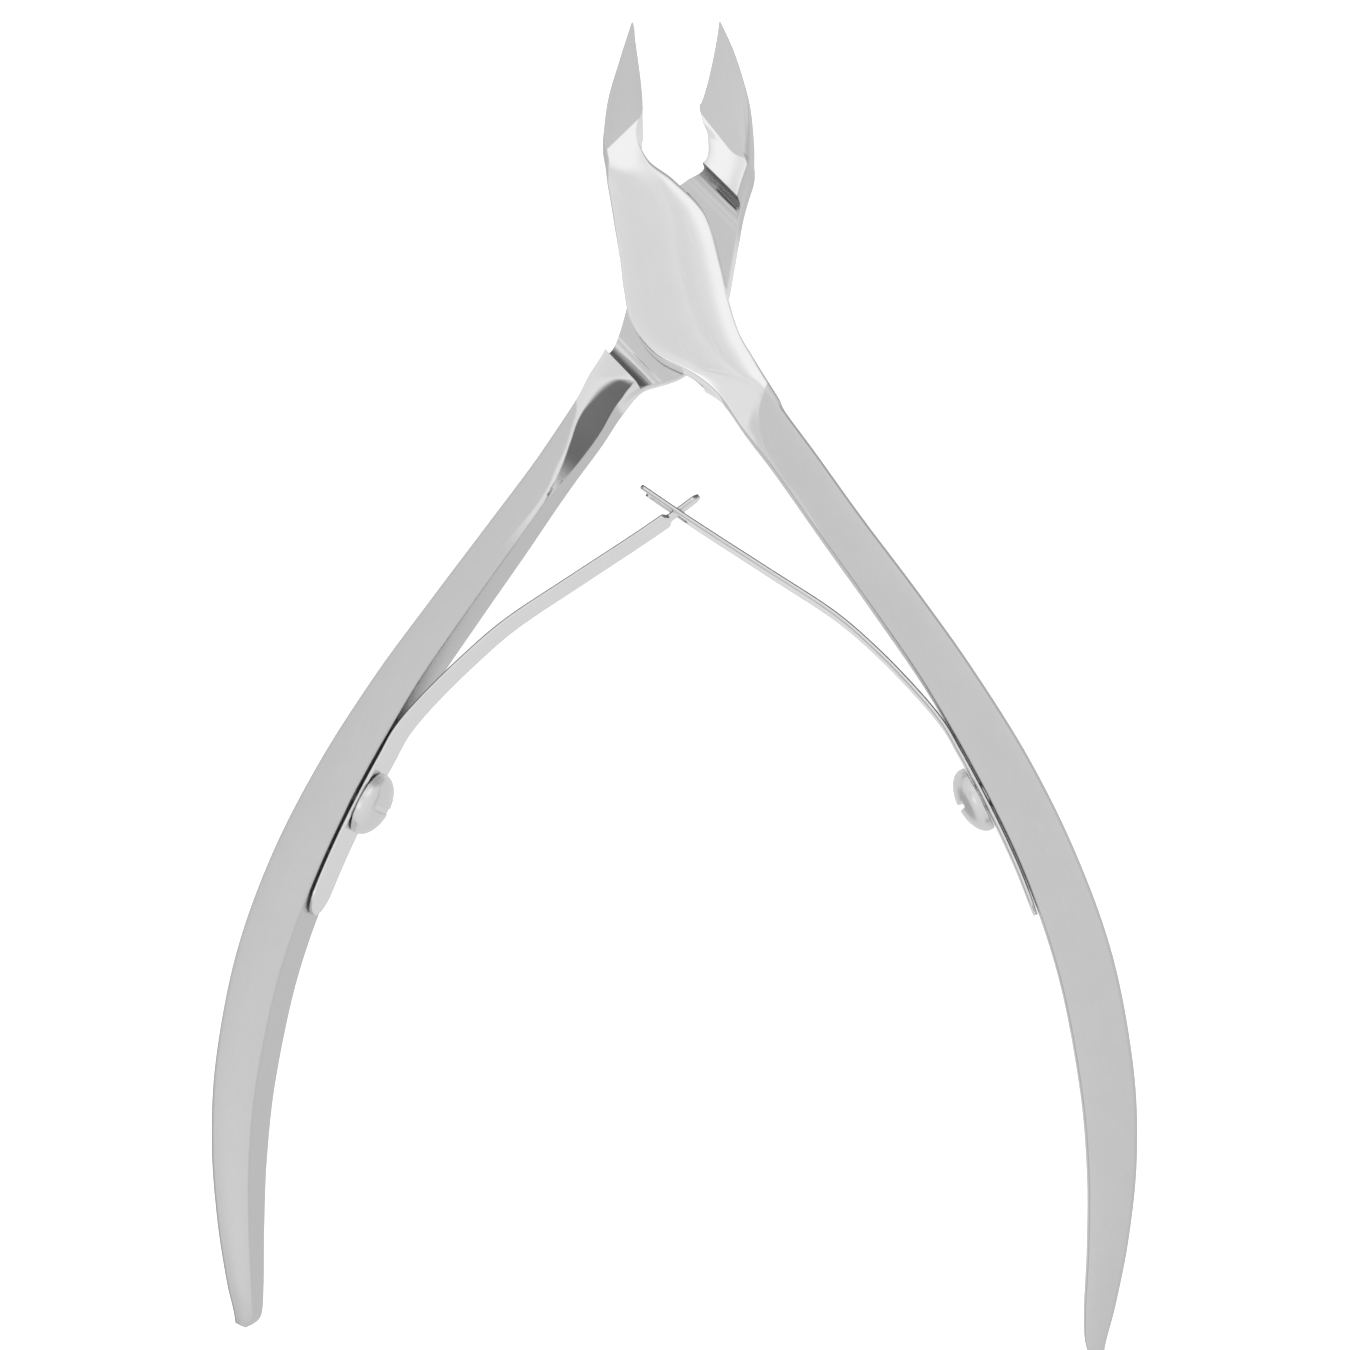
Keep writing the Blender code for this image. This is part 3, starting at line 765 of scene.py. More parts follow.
def bore_profile():
    """Clearance for the pivot screw, open at the back."""
    return [
        (0.0, -HALF - CUTTER_SPARE),
        (HEAD_RADIUS + FIT_GAP, -HALF - CUTTER_SPARE),
        (HEAD_RADIUS + FIT_GAP, -HALF + HEAD_SINK),
        (SHANK_RADIUS + FIT_GAP, -HALF + CONE_DEPTH),
        (SHANK_RADIUS + FIT_GAP, FIT_GAP / 2),
        (THREAD_RADIUS + FIT_GAP, FIT_GAP / 2 + LEAD_IN),
        (THREAD_RADIUS + FIT_GAP, SCREW_REACH + FIT_GAP),
        (0.0, SCREW_REACH + FIT_GAP),
    ]


def screw_frame(lever, lift):
    """Frame on a handle's inner face at its screw: Z leaves the face and X runs in
    the depth of the nipper. lift is the height above the face."""
    along, outward = handle_axes(lever)
    step = 0.5
    before = inner_face(lever, SPRING_SCREW_ALONG - step)
    after = inner_face(lever, SPRING_SCREW_ALONG + step)
    tangent = (along * (2 * step) + outward * (after - before)).normalized()
    normal = Vector((-tangent.y, tangent.x))
    if normal.dot(outward) > 0:
        normal = -normal
    seat = along * SPRING_SCREW_ALONG + outward * inner_face(lever, SPRING_SCREW_ALONG)
    origin = seat + normal * lift
    z_axis = Vector((normal.x, normal.y, 0))
    x_axis = Vector((0, 0, 1))
    y_axis = z_axis.cross(x_axis)
    matrix = Matrix((x_axis, y_axis, z_axis)).transposed().to_4x4()
    matrix.translation = (origin.x, origin.y, 0)
    return matrix


def screw_drill(lever, name):
    lift = LEAF_SEAT_GAP + LEAF_THICKNESS + LEAF_SEAT_GAP
    reach = DOME_SHANK_LENGTH + FIT_GAP
    hole = DOME_SHANK_RADIUS + FIT_GAP
    profile = [(0.0, -reach), (hole, -reach), (hole, 1.0), (0.0, 1.0)]
    return new_mesh_object(name, turned(profile, screw_frame(lever, lift)))


def make_lever(lever, material):
    bm = lever_loft(lever)
    grind_jaw(bm, lever)
    obj = new_mesh_object(f"{lever.name}_forging", bm)
    bore = new_mesh_object(f"{lever.name}_bore", turned(bore_profile(), Matrix.Identity(4)))
    drill = screw_drill(lever, f"{lever.name}_drill")
    cut(obj, [step_cutter(lever), bore, drill])
    finish_piece(obj, material, "lever_steel", lever.body, lever.name)
    return obj


# Springs and screws


def leaf_path(lever):
    """Centre line of a leaf in its handle's axes, from the foot to the tip."""
    seat = LEAF_SEAT_GAP + LEAF_THICKNESS / 2
    seated = [(distance, inner_face(lever, distance) - seat) for distance in LEAF_SEATED]
    return [Vector(point) for point in (*seated, *lever.leaf)]


def leaf_samples(lever):
    """Points along the leaf, each with its length from the foot end."""
    path = leaf_path(lever)
    total = len(path) - 1
    points = [spline(path, total * i / LEAF_SAMPLES) for i in range(LEAF_SAMPLES + 1)]
    lengths = [0.0]
    for first, second in zip(points, points[1:]):
        lengths.append(lengths[-1] + (second - first).length)
    return points, lengths


def leaf_lengths(total, split):
    """Lengths at which the leaf has a row, closer together at rounded outlines."""
    count = round(total / LEAF_ROW_STEP)
    lengths = {total * i / count for i in range(count + 1)}
    tip = (total - LEAF_FINE_TIP, LEAF_FINE_TIP)
    for start, reach in ((0.0, LEAF_FOOT_WIDTH / 2), (split, TONGUE_SHOULDER), tip):
        for i in range(FINE_STEPS + 1):
            share = (i / FINE_STEPS) ** 2
            lengths |= {start + reach * share, start + reach * (1 - share)}
    rows = []
    for length in sorted(value for value in lengths if 0 <= value <= total):
        if not rows or length - rows[-1] > LEAF_LEAST_STEP:
            rows.append(length)
    return rows


def round_share(distance, radius):
    """Share of full width at a distance from a round end of that radius."""
    if distance >= radius:
        return 1.0
    rest = 1 - max(distance, 0.0) / radius
    return max(math.sqrt(1 - rest * rest), LEAST_SHARE)


def leaf_borders(kind, length, total, split, along):
    """Inner and outer border of half the leaf, measured from its centre line."""
    share = (along - LEAF_TAPER_END) / (LEAF_TAPER_START - LEAF_TAPER_END)
    share = min(max(share, 0.0), 1.0)
    half = (LEAF_TIP_WIDTH + (LEAF_FOOT_WIDTH - LEAF_TIP_WIDTH) * share) / 2
    outer = half * round_share(length, LEAF_FOOT_WIDTH / 2)
    past = length - split
    if past <= 0:
        return 0.0, outer
    if kind == "tongue":
        outer += (TONGUE_WIDTH / 2 - outer) * ease(min(past / TONGUE_SHOULDER, 1.0))
        return 0.0, outer * round_share(total - length, TONGUE_WIDTH / 2)
    inner = FORK_SLOT_WIDTH / 2 * round_share(past, FORK_SLOT_WIDTH / 2)
    middle, reach = (inner + outer) / 2, (outer - inner) / 2
    reach *= round_share(total - length, reach)
    return middle - reach, middle + reach


def leaf_rows(kind, lever):
    """Rows of the leaf: centre point, normal, inner border and outer border."""
    points, lengths = leaf_samples(lever)
    total = lengths[-1]
    split = next(at for at, point in zip(lengths, points) if point.x <= LEAF_SPLITS[kind])
    rows = []
    index = 0
    for length in leaf_lengths(total, split):
        while index < len(points) - 2 and lengths[index + 1] < length:
            index += 1
        step = lengths[index + 1] - lengths[index]
        share = (length - lengths[index]) / step
        point = points[index].lerp(points[index + 1], share)
        before, after = points[max(index - 3, 0)], points[min(index + 4, len(points) - 1)]
        tangent = (after - before).normalized()
        normal = Vector((-tangent.y, tangent.x))
        inner, outer = leaf_borders(kind, length, total, split, point.x)
        rows.append((point, normal, inner, outer))
    return rows


def leaf_line(inner, outer):
    """Points across half a strip, each with its share of the full thickness. The last
    one lies beyond a chamfer."""
    edge = min(LEAF_EDGE, (outer - inner) / 3)
    last = LEAF_COLUMNS - 1
    points = [(inner + (outer - edge - inner) * i / last, 1.0) for i in range(LEAF_COLUMNS)]
    return points + [(outer, 1 - 2 * edge / LEAF_THICKNESS)]


def leaf_solid(kind, lever):
    """The strip as two half strips that share their centre line where it is whole."""
    along, outward = handle_axes(lever)
    bm = bmesh.new()
    grids = []
    for half in (1, -1):
        grid = []
        for point, normal, inner, outer in leaf_rows(kind, lever):
            row = []
            for shift in (-LEAF_THICKNESS / 2, LEAF_THICKNESS / 2):
                line = []
                for reach, depth in leaf_line(inner, outer):
                    place = point + normal * (shift * depth)
                    flat = along * place.x + outward * place.y
                    line.append(bm.verts.new((flat.x, flat.y, half * reach)))
                row.append(line)
            grid.append((row, inner))
        grids.append(grid)
    for grid in grids:
        skin_half_strip(bm, grid)
    bmesh.ops.remove_doubles(bm, verts=bm.verts, dist=1e-4)
    bmesh.ops.recalc_face_normals(bm, faces=bm.faces)
    return bm


def quad(bm, first, second, column):
    """Face between two lines of points, beside the given column."""
    after = column + 1
    bm.faces.new((first[column], first[after], second[after], second[column]))


def skin_half_strip(bm, grid):
    for (first, first_inner), (second, second_inner) in zip(grid, grid[1:]):
        for side, column in itertools.product((0, 1), range(LEAF_COLUMNS)):
            quad(bm, first[side], second[side], column)
        bm.faces.new((first[0][-1], first[1][-1], second[1][-1], second[0][-1]))
        if first_inner > 0 or second_inner > 0:
            bm.faces.new((first[0][0], second[0][0], second[1][0], first[1][0]))
    for row, _ in (grid[0], grid[-1]):
        for column in range(LEAF_COLUMNS):
            quad(bm, row[0], row[1], column)


def make_leaf(label, kind, lever, material):
    """One strip that stands for the clamped foot and the blade of the frame."""
    obj = new_mesh_object(f"{label}_leaf_strip", leaf_solid(kind, lever))
    cut(obj, [screw_drill(lever, f"{label}_hole")])
    foot, blade = f"{label}_leaf_foot", f"{label}_leaf_spring"
    finish_piece(obj, material, "spring_steel", None, foot, blade)
    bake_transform(obj)
    return obj


def slot_cutter(name, size, matrix):
    """Box whose top is open at z = 0 of the given matrix and runs along its X."""
    width, depth = size
    rise = SLOT_CUTTER_RISE
    outline = ((-width / 2, -depth), (width / 2, -depth), (width / 2, rise), (-width / 2, rise))
    along_x = Matrix.Rotation(math.radians(90), 4, "Z") @ Matrix.Rotation(math.radians(90), 4, "X")
    return new_mesh_object(name, prism(outline, SLOT_CUTTER_LENGTH, matrix @ along_x))


def dome_profile():
    """Domed head above z = 0, on a short rim, and the shank below it."""
    edge = HEAD_EDGE
    profile = [(0.0, -DOME_SHANK_LENGTH), (DOME_SHANK_RADIUS - edge, -DOME_SHANK_LENGTH)]
    profile += [(DOME_SHANK_RADIUS, edge - DOME_SHANK_LENGTH), (DOME_SHANK_RADIUS, 0.0)]
    profile += [(DOME_RADIUS - edge, 0.0), (DOME_RADIUS, edge)]
    rise = DOME_HEIGHT - DOME_RIM
    profile += arc_points((0.0, DOME_RIM), (DOME_RADIUS, rise), 0, DOME_END, DOME_STEPS)
    profile.append((0.0, DOME_HEIGHT))
    return profile


def make_dome_screw(label, lever, material):
    matrix = screw_frame(lever, LEAF_SEAT_GAP + LEAF_THICKNESS + LEAF_SEAT_GAP)
    obj = new_mesh_object(f"{label}_dome_screw", turned(dome_profile(), matrix))
    slot_matrix = matrix @ Matrix.Translation((0, 0, DOME_HEIGHT))
    cut(obj, [slot_cutter(f"{label}_dome_slot", DOME_SLOT, slot_matrix)])
    finish_piece(obj, material, "screw_steel", lever.body, f"{label}_spring_screw")


def pivot_profile():
    """Flat countersunk head at the back, plain shank, then the threaded end."""
    plane = HEAD_SINK - HALF
    return [
        (0.0, plane),
        (HEAD_RADIUS - HEAD_EDGE, plane),
        (HEAD_RADIUS, plane + HEAD_EDGE),
        (SHANK_RADIUS, CONE_DEPTH - HALF),
        (SHANK_RADIUS, 0.0),
        (THREAD_RADIUS, LEAD_IN),
        (THREAD_RADIUS, SCREW_REACH - LEAD_IN),
        (THREAD_RADIUS - LEAD_IN, SCREW_REACH),
        (0.0, SCREW_REACH),
    ]


def make_pivot_screw(material):
    obj = new_mesh_object("pivot_screw_turned", turned(pivot_profile(), Matrix.Identity(4)))
    head = Matrix.Translation((0, 0, HEAD_SINK - HALF)) @ Matrix.Rotation(math.pi, 4, "X")
    matrix = Matrix.Rotation(math.radians(PIVOT_SLOT_TURN), 4, "Z") @ head
    cut(obj, [slot_cutter("pivot_slot", PIVOT_SLOT, matrix)])
    finish_piece(obj, material, "screw_steel", "front_half", "pivot_screw")


# Materials

POLISHED_SHADE = 0.80
SATIN_SHADE = 0.605
# Painted shade on the recess floors beside the laps.
RECESS_PAINTED_SHADE = 0.66
# Painted dark reflection in the deep hollow of the step face.
SCOOP_DARK_REFLECTION = 0.15
# Painted shade on the step walls and down their fillets.
FILLET_PAINTED_SHADE = 0.15
DULL_SHARE = 0.85
DULL_ROUGHNESS = 0.35
SATIN_ROUGHNESS = 0.34
POLISHED_ROUGHNESS = 0.075
GRAIN_STRETCH = (9.0, 0.55, 9.0)
SCRATCH_STRETCH = (14.0, 0.25, 14.0)
# Painted shade: a dark line on the upper bevels of each leaf.
SPRING_EDGE_PAINTED_SHADE = 0.16
SPRING_SHADE = 0.78
SCREW_SHADE = 0.74

# Ranges of the curves that follow a handle, in millimetres
CURVE_PLACES = (8.0, 28.0)
CURVE_VALUES = (-3.0, 9.0)


class Nodes:
    """Builds a node tree one node at a time, taking sockets or plain values."""

    def __init__(self, tree):
        self.tree = tree
        tree.nodes.clear()

    def add(self, kind, inputs=None, **settings):
        node = self.tree.nodes.new(kind)
        for name, value in settings.items():
            setattr(node, name, value)
        for name, value in (inputs or {}).items():
            self.feed(node.inputs[name], value)
        return node

    def feed(self, socket, value):
        if isinstance(value, bpy.types.NodeSocket):
            self.tree.links.new(value, socket)
        else:
            socket.default_value = value

    def math(self, operation, *values, clamp=False):
        node = self.add("ShaderNodeMath", operation=operation, use_clamp=clamp)
        for socket, value in zip(node.inputs, values):
            self.feed(socket, value)
        return node.outputs[0]

    def vector(self, operation, *values, output="Vector"):
        node = self.add("ShaderNodeVectorMath", operation=operation)
        for socket, value in zip(node.inputs, values):
            self.feed(socket, value)
        return node.outputs[output]

    def times(self, first, second):
        return self.math("MULTIPLY", first, second)

    def plus(self, value, pattern, amount, clamp=False):
        """The value plus a share of the pattern."""
        return self.math("MULTIPLY_ADD", pattern, amount, value, clamp=clamp)

    def minus(self, first, second):
        return self.math("SUBTRACT", first, second)

    def dot(self, vector, axis):
        """Length of a vector along a fixed axis."""
        return self.vector("DOT_PRODUCT", vector, tuple(axis), output="Value")

    def parts(self, vector):
        """The X, Y and Z of a vector."""
        return self.add("ShaderNodeSeparateXYZ", {"Vector": vector}).outputs

    def geometry(self, output):
        return self.add("ShaderNodeNewGeometry").outputs[output]

    def varied(self, value, pattern, amount):
        """The value moved up and down by a pattern that is 0.5 on average."""
        return self.plus(value, self.minus(pattern, 0.5), amount)

    def mix(self, factor, first, second):
        """Plain number between two others."""
        node = self.add("ShaderNodeMix", data_type="FLOAT")
        self.feed(node.inputs[0], factor)
        self.feed(node.inputs[2], first)
        self.feed(node.inputs[3], second)
        return node.outputs[0]

    def smooth(self, value, low, high):
        node = self.add(
            "ShaderNodeMapRange",
            {"Value": value, "From Min": low, "From Max": high},
            interpolation_type="SMOOTHSTEP",
        )
        return node.outputs["Result"]

    def noise(self, place, scale, detail=2.0, rough=0.5):
        node = self.add(
            "ShaderNodeTexNoise",
            {"Vector": place, "Scale": scale, "Detail": detail, "Roughness": rough},
        )
        return node.outputs["Fac"]

    def curve(self, points, position):
        """Value of a curve through (place, value) points on a handle."""
        low, high = CURVE_PLACES
        floor, top = CURVE_VALUES
        node = self.add("ShaderNodeFloatCurve")
        curve = node.mapping.curves[0]
        scaled = [((x - low) / (high - low), (y - floor) / (top - floor)) for x, y in points]
        while len(curve.points) < len(scaled):
            curve.points.new(0.5, 0.5)
        for point, (x, y) in zip(curve.points, scaled):
            point.location = (x, y)
        node.mapping.update()
        share = self.math("DIVIDE", self.minus(position, low), high - low)
        self.feed(node.inputs["Value"], share)
        return self.plus(floor, node.outputs[0], top - floor)


def new_material(name):
    material = bpy.data.materials.new(name)
    material.use_nodes = True
    return material, Nodes(material.node_tree)


def place_in_mm(nodes):
    """Place from the pivot in millimetres, fixed to the piece."""
    place = nodes.add("ShaderNodeTexCoord").outputs["Object"]
    centred = nodes.vector("SUBTRACT", place, tuple(PIVOT))
    node = nodes.add("ShaderNodeVectorMath", {"Vector": centred, "Scale": 1 / MM}, operation="SCALE")
    return node.outputs[0]


def steel_marks(nodes, place, grain_axis):
    """Patterns of the metal: soft blotches, drawn grain, pits and sparse scratches."""
    stretched = nodes.add("ShaderNodeVectorRotate", {"Vector": place, "Angle": grain_axis})
    stretched.rotation_type = "Z_AXIS"
    drawn = stretched.outputs[0]
    grain = nodes.noise(nodes.vector("MULTIPLY", drawn, GRAIN_STRETCH), 1.6, 3.0, 0.6)
    scratches = nodes.noise(nodes.vector("MULTIPLY", drawn, SCRATCH_STRETCH), 0.9, 1.0)
    blotches = nodes.noise(place, 0.35, 3.0)
    pits = nodes.noise(place, 14.0, 2.0, 0.6)
    return blotches, grain, pits, nodes.smooth(scratches, 0.66, 0.72)


def worn_and_highlit_edges(nodes):
    """Normal with rounded edges, and 1 on the edges themselves, which are worn and also get a painted
    highlight.
    """
    rounded = nodes.add("ShaderNodeBevel", {"Radius": 0.07 * MM}, samples=4).outputs[0]
    turn = nodes.vector("DOT_PRODUCT", rounded, nodes.geometry("Normal"), output="Value")
    return rounded, nodes.smooth(turn, 0.995, 0.90)


def steel_output(nodes, place, grain_axis, polish, shade, dull=0.0):
    """Bare steel between satin, at polish 0, and a mirror finish, at polish 1."""
    satin = nodes.minus(1.0, polish)
    blotches, grain, pits, scratches = steel_marks(nodes, place, grain_axis)
    rounded, wear_and_highlight = worn_and_highlit_edges(nodes)
    height = nodes.plus(nodes.times(pits, 0.3), grain, 0.7)
    height = nodes.times(height, satin)
    bump = nodes.add(
        "ShaderNodeBump",
        {"Strength": 0.22, "Distance": 0.02 * MM, "Height": height, "Normal": rounded},
    )
    rough = nodes.mix(polish, SATIN_ROUGHNESS, POLISHED_ROUGHNESS)
    rough = nodes.varied(rough, blotches, 0.05)
    rough = nodes.varied(rough, grain, 0.06)
    rough = nodes.plus(rough, scratches, 0.05)
    rough = nodes.plus(rough, wear_and_highlight, -0.05)
    rough = nodes.plus(rough, dull, DULL_ROUGHNESS, clamp=True)
    tone = nodes.varied(shade, blotches, 0.035)
    fine = nodes.times(nodes.minus(grain, 0.5), 0.05)
    tone = nodes.math("ADD", tone, nodes.times(fine, satin))
    tone = nodes.plus(tone, scratches, 0.02)
    # Edges a little lighter: partly wear, partly a painted highlight.
    tone = nodes.plus(tone, wear_and_highlight, 0.05, clamp=True)
    colour = nodes.add("ShaderNodeCombineColor", {"Red": tone, "Green": tone, "Blue": tone})
    shader = nodes.add(
        "ShaderNodeBsdfPrincipled",
        {
            "Base Color": colour.outputs[0],
            "Metallic": nodes.plus(1.0, dull, -DULL_SHARE),
            "Roughness": rough,
            "Normal": bump.outputs[0],
        },
    )
    nodes.add("ShaderNodeOutputMaterial", {"Surface": shader.outputs[0]})


def handle_place(nodes, lever, place):
    """Distance from the pivot along the handle, and offset outward from it."""
    return [nodes.dot(place, axis.to_3d()) for axis in handle_axes(lever)]


def surface_normal(nodes):
    facing = nodes.geometry("True Normal")
    return nodes.parts(facing)


def handle_polish(nodes, lever, place):
    """1 where a lever is polished and 0 where its handle is satin."""
    distance, offset = handle_place(nodes, lever, place)
    split = nodes.parts(place)
    in_front = nodes.math("GREATER_THAN", split["Z"], 0.0)
    plain_line = nodes.curve(PLAIN_RIDGE, distance)
    step_line = nodes.curve(STEP_SATIN, distance)
    line = nodes.mix(in_front, *in_order(lever, step_line, plain_line))
    inside = nodes.smooth(nodes.minus(line, offset), -0.12, 0.12)
    near = nodes.smooth(distance, 25.5, 20.5)
    above = nodes.smooth(distance, 11.2, 10.6)
    level = nodes.math("ABSOLUTE", surface_normal(nodes)["Z"])
    on_face = nodes.smooth(level, 0.15, 0.35)
    below = nodes.times(nodes.times(inside, near), on_face)
    return nodes.math("MAXIMUM", below, above)


def facet_satin(nodes, lever, place):
    """1 on the ground facets of the jaw and 0 elsewhere."""
    found = 0.0
    for facing in (1, -1):
        point, normal = ground_plane(lever.facet, facing)
        height = nodes.dot(place, normal)
        gap = nodes.math("ABSOLUTE", nodes.minus(height, point.dot(normal)))
        on_plane = nodes.math("LESS_THAN", gap, 0.006)
        found = nodes.math("MAXIMUM", found, on_plane)
    return found


def recess_painted_shade_mask(nodes, place):
    """1 on the floors of the two recesses beside the laps and 0 elsewhere: where painted shade darkens
    them.
    """
    level = nodes.math("ABSOLUTE", nodes.parts(place)["Z"])
    reach = nodes.vector("LENGTH", place, output="Value")
    return nodes.times(nodes.smooth(level, 0.9, 0.3), nodes.smooth(reach, 11.0, 9.0))


def jaw_side_satin(nodes, lever, place):
    """1 on the rounded outer side of a jaw and 0 elsewhere."""
    outward = nodes.times(surface_normal(nodes)["X"], -lever.side)
    height = nodes.parts(place)["Y"]
    return nodes.times(nodes.smooth(outward, 0.08, 0.22), nodes.smooth(height, 2.0, 5.0))


def scoop_dark_reflection_mask(nodes, lever, place):
    """1 in the deep hollow of the step face and 0 elsewhere: where a painted dark reflection goes."""
    distance, offset = handle_place(nodes, lever, place)
    line = nodes.curve(STEP_RIDGE, distance)
    soft = nodes.plus(0.05, nodes.smooth(distance, 13.0, 10.0), 0.30)
    firm = nodes.times(soft, -1.0)
    inside = nodes.smooth(nodes.minus(line, offset), firm, soft)
    top = nodes.smooth(distance, 8.85, 9.35)
    end = nodes.smooth(distance, 19.5, 16.0)
    rise = nodes.times(surface_normal(nodes)["Z"], -lever.side)
    mask = nodes.times(inside, nodes.times(top, end))
    return nodes.times(mask, nodes.smooth(rise, 0.12, 0.30))


def wall_mask(nodes, across, reach):
    """1 from a step wall at that reach to the foot of its fillet."""
    side = math.copysign(1.0, reach)
    wall = nodes.smooth(across, reach + side * 0.04, reach + side * 0.01)
    return nodes.times(wall, nodes.smooth(across, reach - side * 1.3, reach - side * 0.9))


def fillet_painted_shade_mask(nodes, lever, place):
    """1 on the two step walls of a joint, fading to 0 down their fillets: where painted shade goes."""
    turn = math.radians(lever.step_angle)
    across = nodes.dot(place, (math.cos(turn), math.sin(turn), 0.0))
    height = nodes.times(nodes.parts(place)["Z"], -lever.side)
    near = nodes.times(wall_mask(nodes, across, -NEAR_REACH), nodes.smooth(height, -0.02, 0.35))
    far = nodes.times(wall_mask(nodes, across, FAR_REACH), nodes.smooth(height, 0.20, 1.40))
    return nodes.math("MAXIMUM", near, far)


def lever_material(lever):
    material, nodes = new_material(f"{lever.name}_steel")
    place = place_in_mm(nodes)
    polish = handle_polish(nodes, lever, place)
    satin = nodes.math("MAXIMUM", facet_satin(nodes, lever, place), jaw_side_satin(nodes, lever, place))
    polish = nodes.times(polish, nodes.minus(1.0, satin))
    shade = nodes.mix(polish, SATIN_SHADE, POLISHED_SHADE)
    # Painted shade on the recess floors beside the laps.
    shade = nodes.mix(recess_painted_shade_mask(nodes, place), shade, RECESS_PAINTED_SHADE)
    scoop = scoop_dark_reflection_mask(nodes, lever, place)
    fillet = fillet_painted_shade_mask(nodes, lever, place)
    # Painted dark reflection in the scoop of the step face.
    shade = nodes.mix(scoop, shade, SCOOP_DARK_REFLECTION)
    # Painted shade on the step walls and their fillets.
    shade = nodes.mix(fillet, shade, FILLET_PAINTED_SHADE)
    dull = nodes.math("MAXIMUM", scoop, fillet)
    steel_output(nodes, place, math.radians(-lever.angle), polish, shade, dull=dull)
    return material


def spring_material():
    """Rolled strip with a dark line of painted shade on the bevels of its upper front edge."""
    material, nodes = new_material("rolled_spring_steel")
    normal = surface_normal(nodes)
    rise = nodes.math("ABSOLUTE", normal["Z"])
    bevel = nodes.times(nodes.smooth(rise, 0.15, 0.30), nodes.smooth(rise, 0.97, 0.90))
    edge = nodes.times(bevel, nodes.smooth(normal["Y"], 0.05, 0.20))
    # Painted shade: the upper bevels of the leaf are darkened to a dark line.
    shade = nodes.mix(edge, SPRING_SHADE, SPRING_EDGE_PAINTED_SHADE)
    steel_output(nodes, place_in_mm(nodes), 0.0, 0.55, shade, dull=nodes.times(edge, 0.8))
    return material


def screw_material():
    material, nodes = new_material("turned_screw_steel")
    steel_output(nodes, place_in_mm(nodes), 0.0, 0.35, SCREW_SHADE)
    return material


# Studio


def sky_lobe(nodes, direction, lobe, below):
    """Blends a soft patch of light or dark into what lies behind it."""
    centre, inner, outer, value = lobe
    unit = Vector(centre).normalized()
    near = nodes.dot(direction, unit)
    low, high = math.cos(math.radians(outer)), math.cos(math.radians(inner))
    return nodes.mix(nodes.smooth(near, low, high), below, value)


# Soft patches of the studio that the steel reflects: centre, angle that is fully lit,
# angle where it fades out, brightness.
SKY_LOBES = (
    ((-0.60, -0.05, 0.78), 6.0, 20.0, 0.74),
    ((-0.34, -0.20, 0.92), 4.0, 16.0, 1.25),
    ((-0.12, 0.00, 0.99), 4.0, 18.0, 0.92),
    ((-0.15, 0.29, 0.945), 2.0, 9.0, 0.83),
    ((-0.15, 0.51, 0.85), 3.0, 10.0, 1.10),
    ((0.36, 0.48, 0.80), 10.0, 24.0, 1.10),
    ((-0.86, -0.40, -0.20), 20.0, 38.0, 0.50),
    ((0.42, 0.90, -0.05), 20.0, 40.0, 0.50),
)
SKY_TOP = 0.88
SKY_SIDE = 0.84
SKY_BELOW = 0.80

FLOOR_SIZE = 4.0
FLOOR_DROP = 0.02


def make_studio():
    world = bpy.data.worlds.new("studio")
    bpy.context.scene.world = world
    world.use_nodes = True
    nodes = Nodes(world.node_tree)
    direction = nodes.add("ShaderNodeTexCoord").outputs["Generated"]
    height = nodes.parts(direction)["Z"]
    sky = nodes.mix(nodes.smooth(height, 0.3, 0.9), SKY_SIDE, SKY_TOP)
    sky = nodes.mix(nodes.smooth(height, 0.0, -0.3), sky, SKY_BELOW)
    for lobe in SKY_LOBES:
        sky = sky_lobe(nodes, direction, lobe, sky)
    path = nodes.add("ShaderNodeLightPath").outputs
    strength = nodes.mix(path["Is Glossy Ray"], 1.0, sky)
    background = nodes.add("ShaderNodeBackground", {"Strength": strength})
    nodes.feed(background.inputs["Color"], (1.0, 1.0, 1.0, 1.0))
    nodes.add("ShaderNodeOutputWorld", {"Surface": background.outputs[0]})


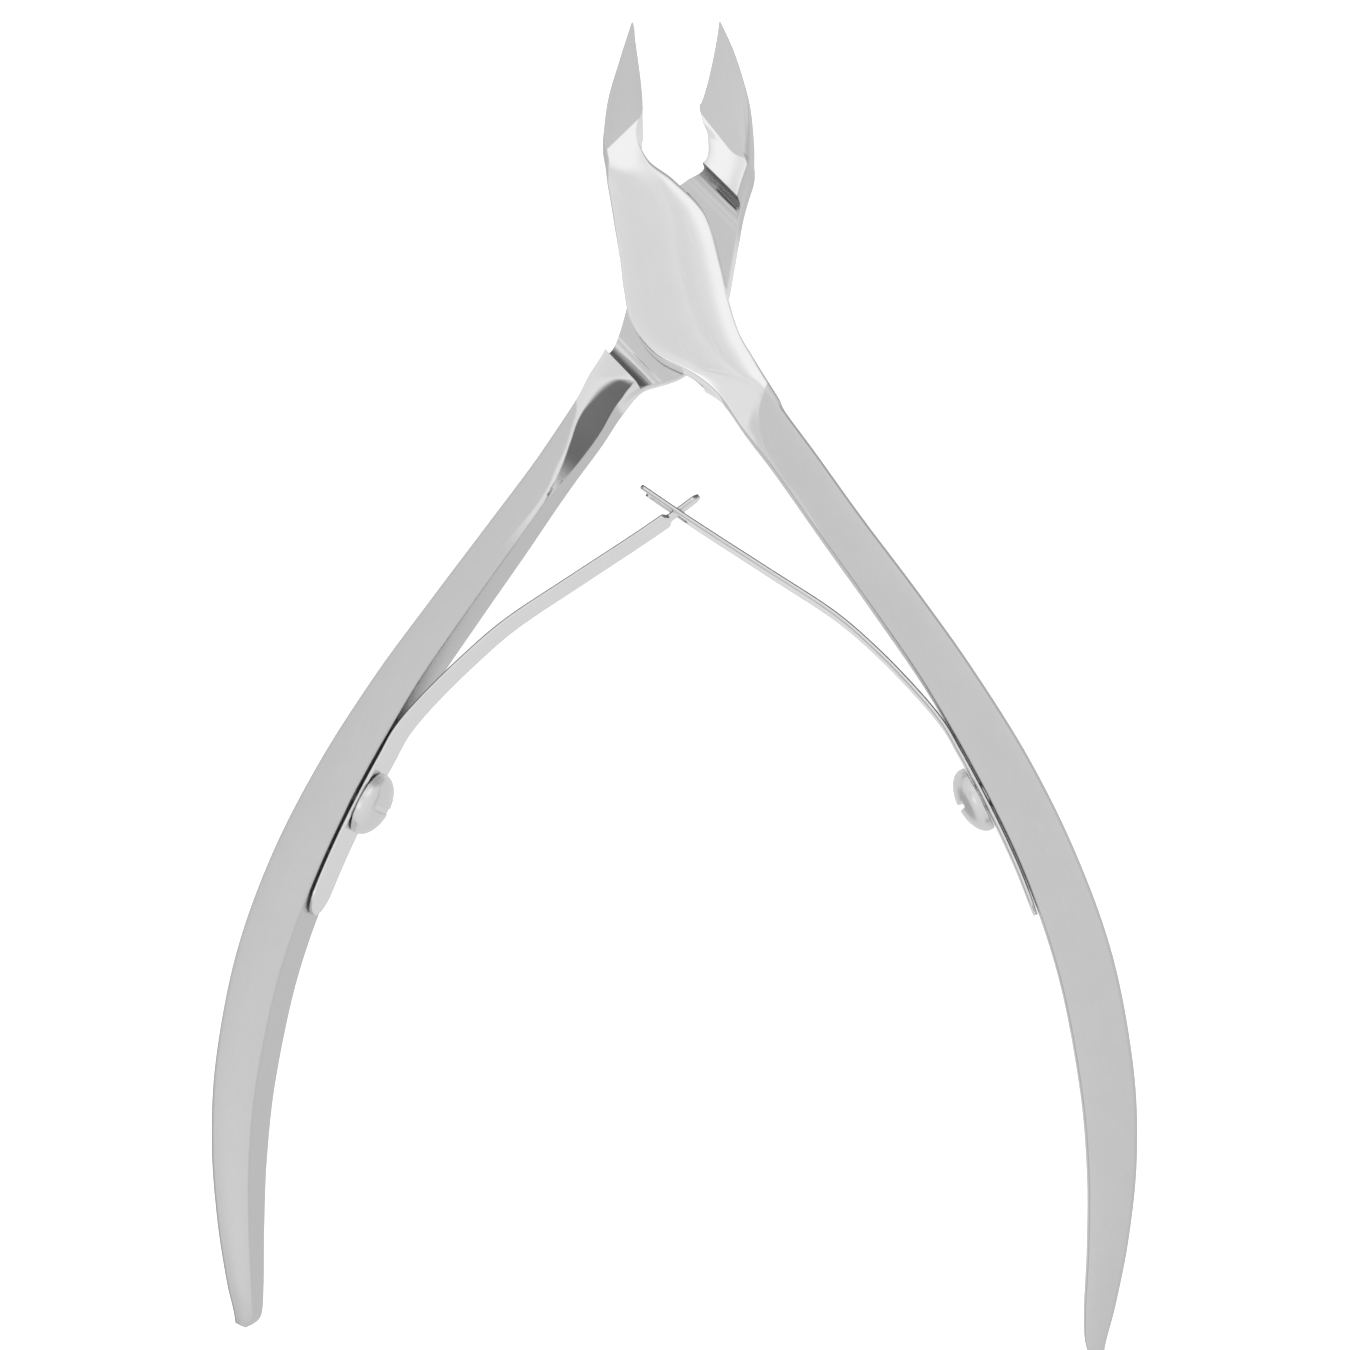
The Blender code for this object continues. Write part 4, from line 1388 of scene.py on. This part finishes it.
def make_floor():
    """Pale sheet under the nipper, seen only from above."""
    bm = bmesh.new()
    bmesh.ops.create_grid(bm, x_segments=1, y_segments=1, size=FLOOR_SIZE / 2)
    mesh = bpy.data.meshes.new("floor")
    bm.to_mesh(mesh)
    bm.free()
    floor = bpy.data.objects.new("floor", mesh)
    floor.location = (0.0, 0.0, cad_box[0].z - FLOOR_DROP * MM)
    bpy.context.scene.collection.objects.link(floor)
    material, nodes = new_material("pale_sheet")
    path = nodes.add("ShaderNodeLightPath").outputs
    diffuse = nodes.add("ShaderNodeBsdfDiffuse", {"Color": (0.86, 0.86, 0.86, 1.0)})
    glow = nodes.add("ShaderNodeEmission", {"Strength": path["Is Camera Ray"]})
    nodes.feed(glow.inputs["Color"], (0.75, 0.75, 0.75, 1.0))
    lit = nodes.add("ShaderNodeAddShader")
    nodes.feed(lit.inputs[0], diffuse.outputs[0])
    nodes.feed(lit.inputs[1], glow.outputs[0])
    clear = nodes.add("ShaderNodeBsdfTransparent")
    back = nodes.geometry("Backfacing")
    hidden = nodes.math("MAXIMUM", back, path["Is Glossy Ray"])
    seen = nodes.add("ShaderNodeMixShader", {"Fac": hidden})
    nodes.feed(seen.inputs[1], lit.outputs[0])
    nodes.feed(seen.inputs[2], clear.outputs[0])
    nodes.add("ShaderNodeOutputMaterial", {"Surface": seen.outputs[0]})
    mesh.materials.append(material)


def make_camera():
    data = bpy.data.cameras.new("camera")
    data.lens = CAMERA_LENS
    data.sensor_width = CAMERA_SENSOR
    data.clip_start = 0.005
    data.clip_end = 10.0
    camera = bpy.data.objects.new("camera", data)
    bpy.context.scene.collection.objects.link(camera)
    aim = CAMERA_AIM - CAMERA_PLACE
    right = aim.cross(Vector((0, 1, 0))).normalized()
    up = right.cross(aim).normalized()
    turn = Matrix((right, up, -aim.normalized())).transposed().to_4x4()
    camera.matrix_world = Matrix.Translation(CAMERA_PLACE * MM + PIVOT) @ turn
    bpy.context.scene.camera = camera


make_studio()
make_floor()
make_camera()
make_lever(FRONT_LEVER, lever_material(FRONT_LEVER))
make_lever(REAR_LEVER, lever_material(REAR_LEVER))
leaf_steel = spring_material()
make_leaf("left", "tongue", REAR_LEVER, leaf_steel)
make_leaf("right", "fork", FRONT_LEVER, leaf_steel)
screw_steel = screw_material()
make_dome_screw("left", REAR_LEVER, screw_steel)
make_dome_screw("right", FRONT_LEVER, screw_steel)
make_pivot_screw(screw_steel)
bpy.context.scene.view_settings.view_transform = "Standard"
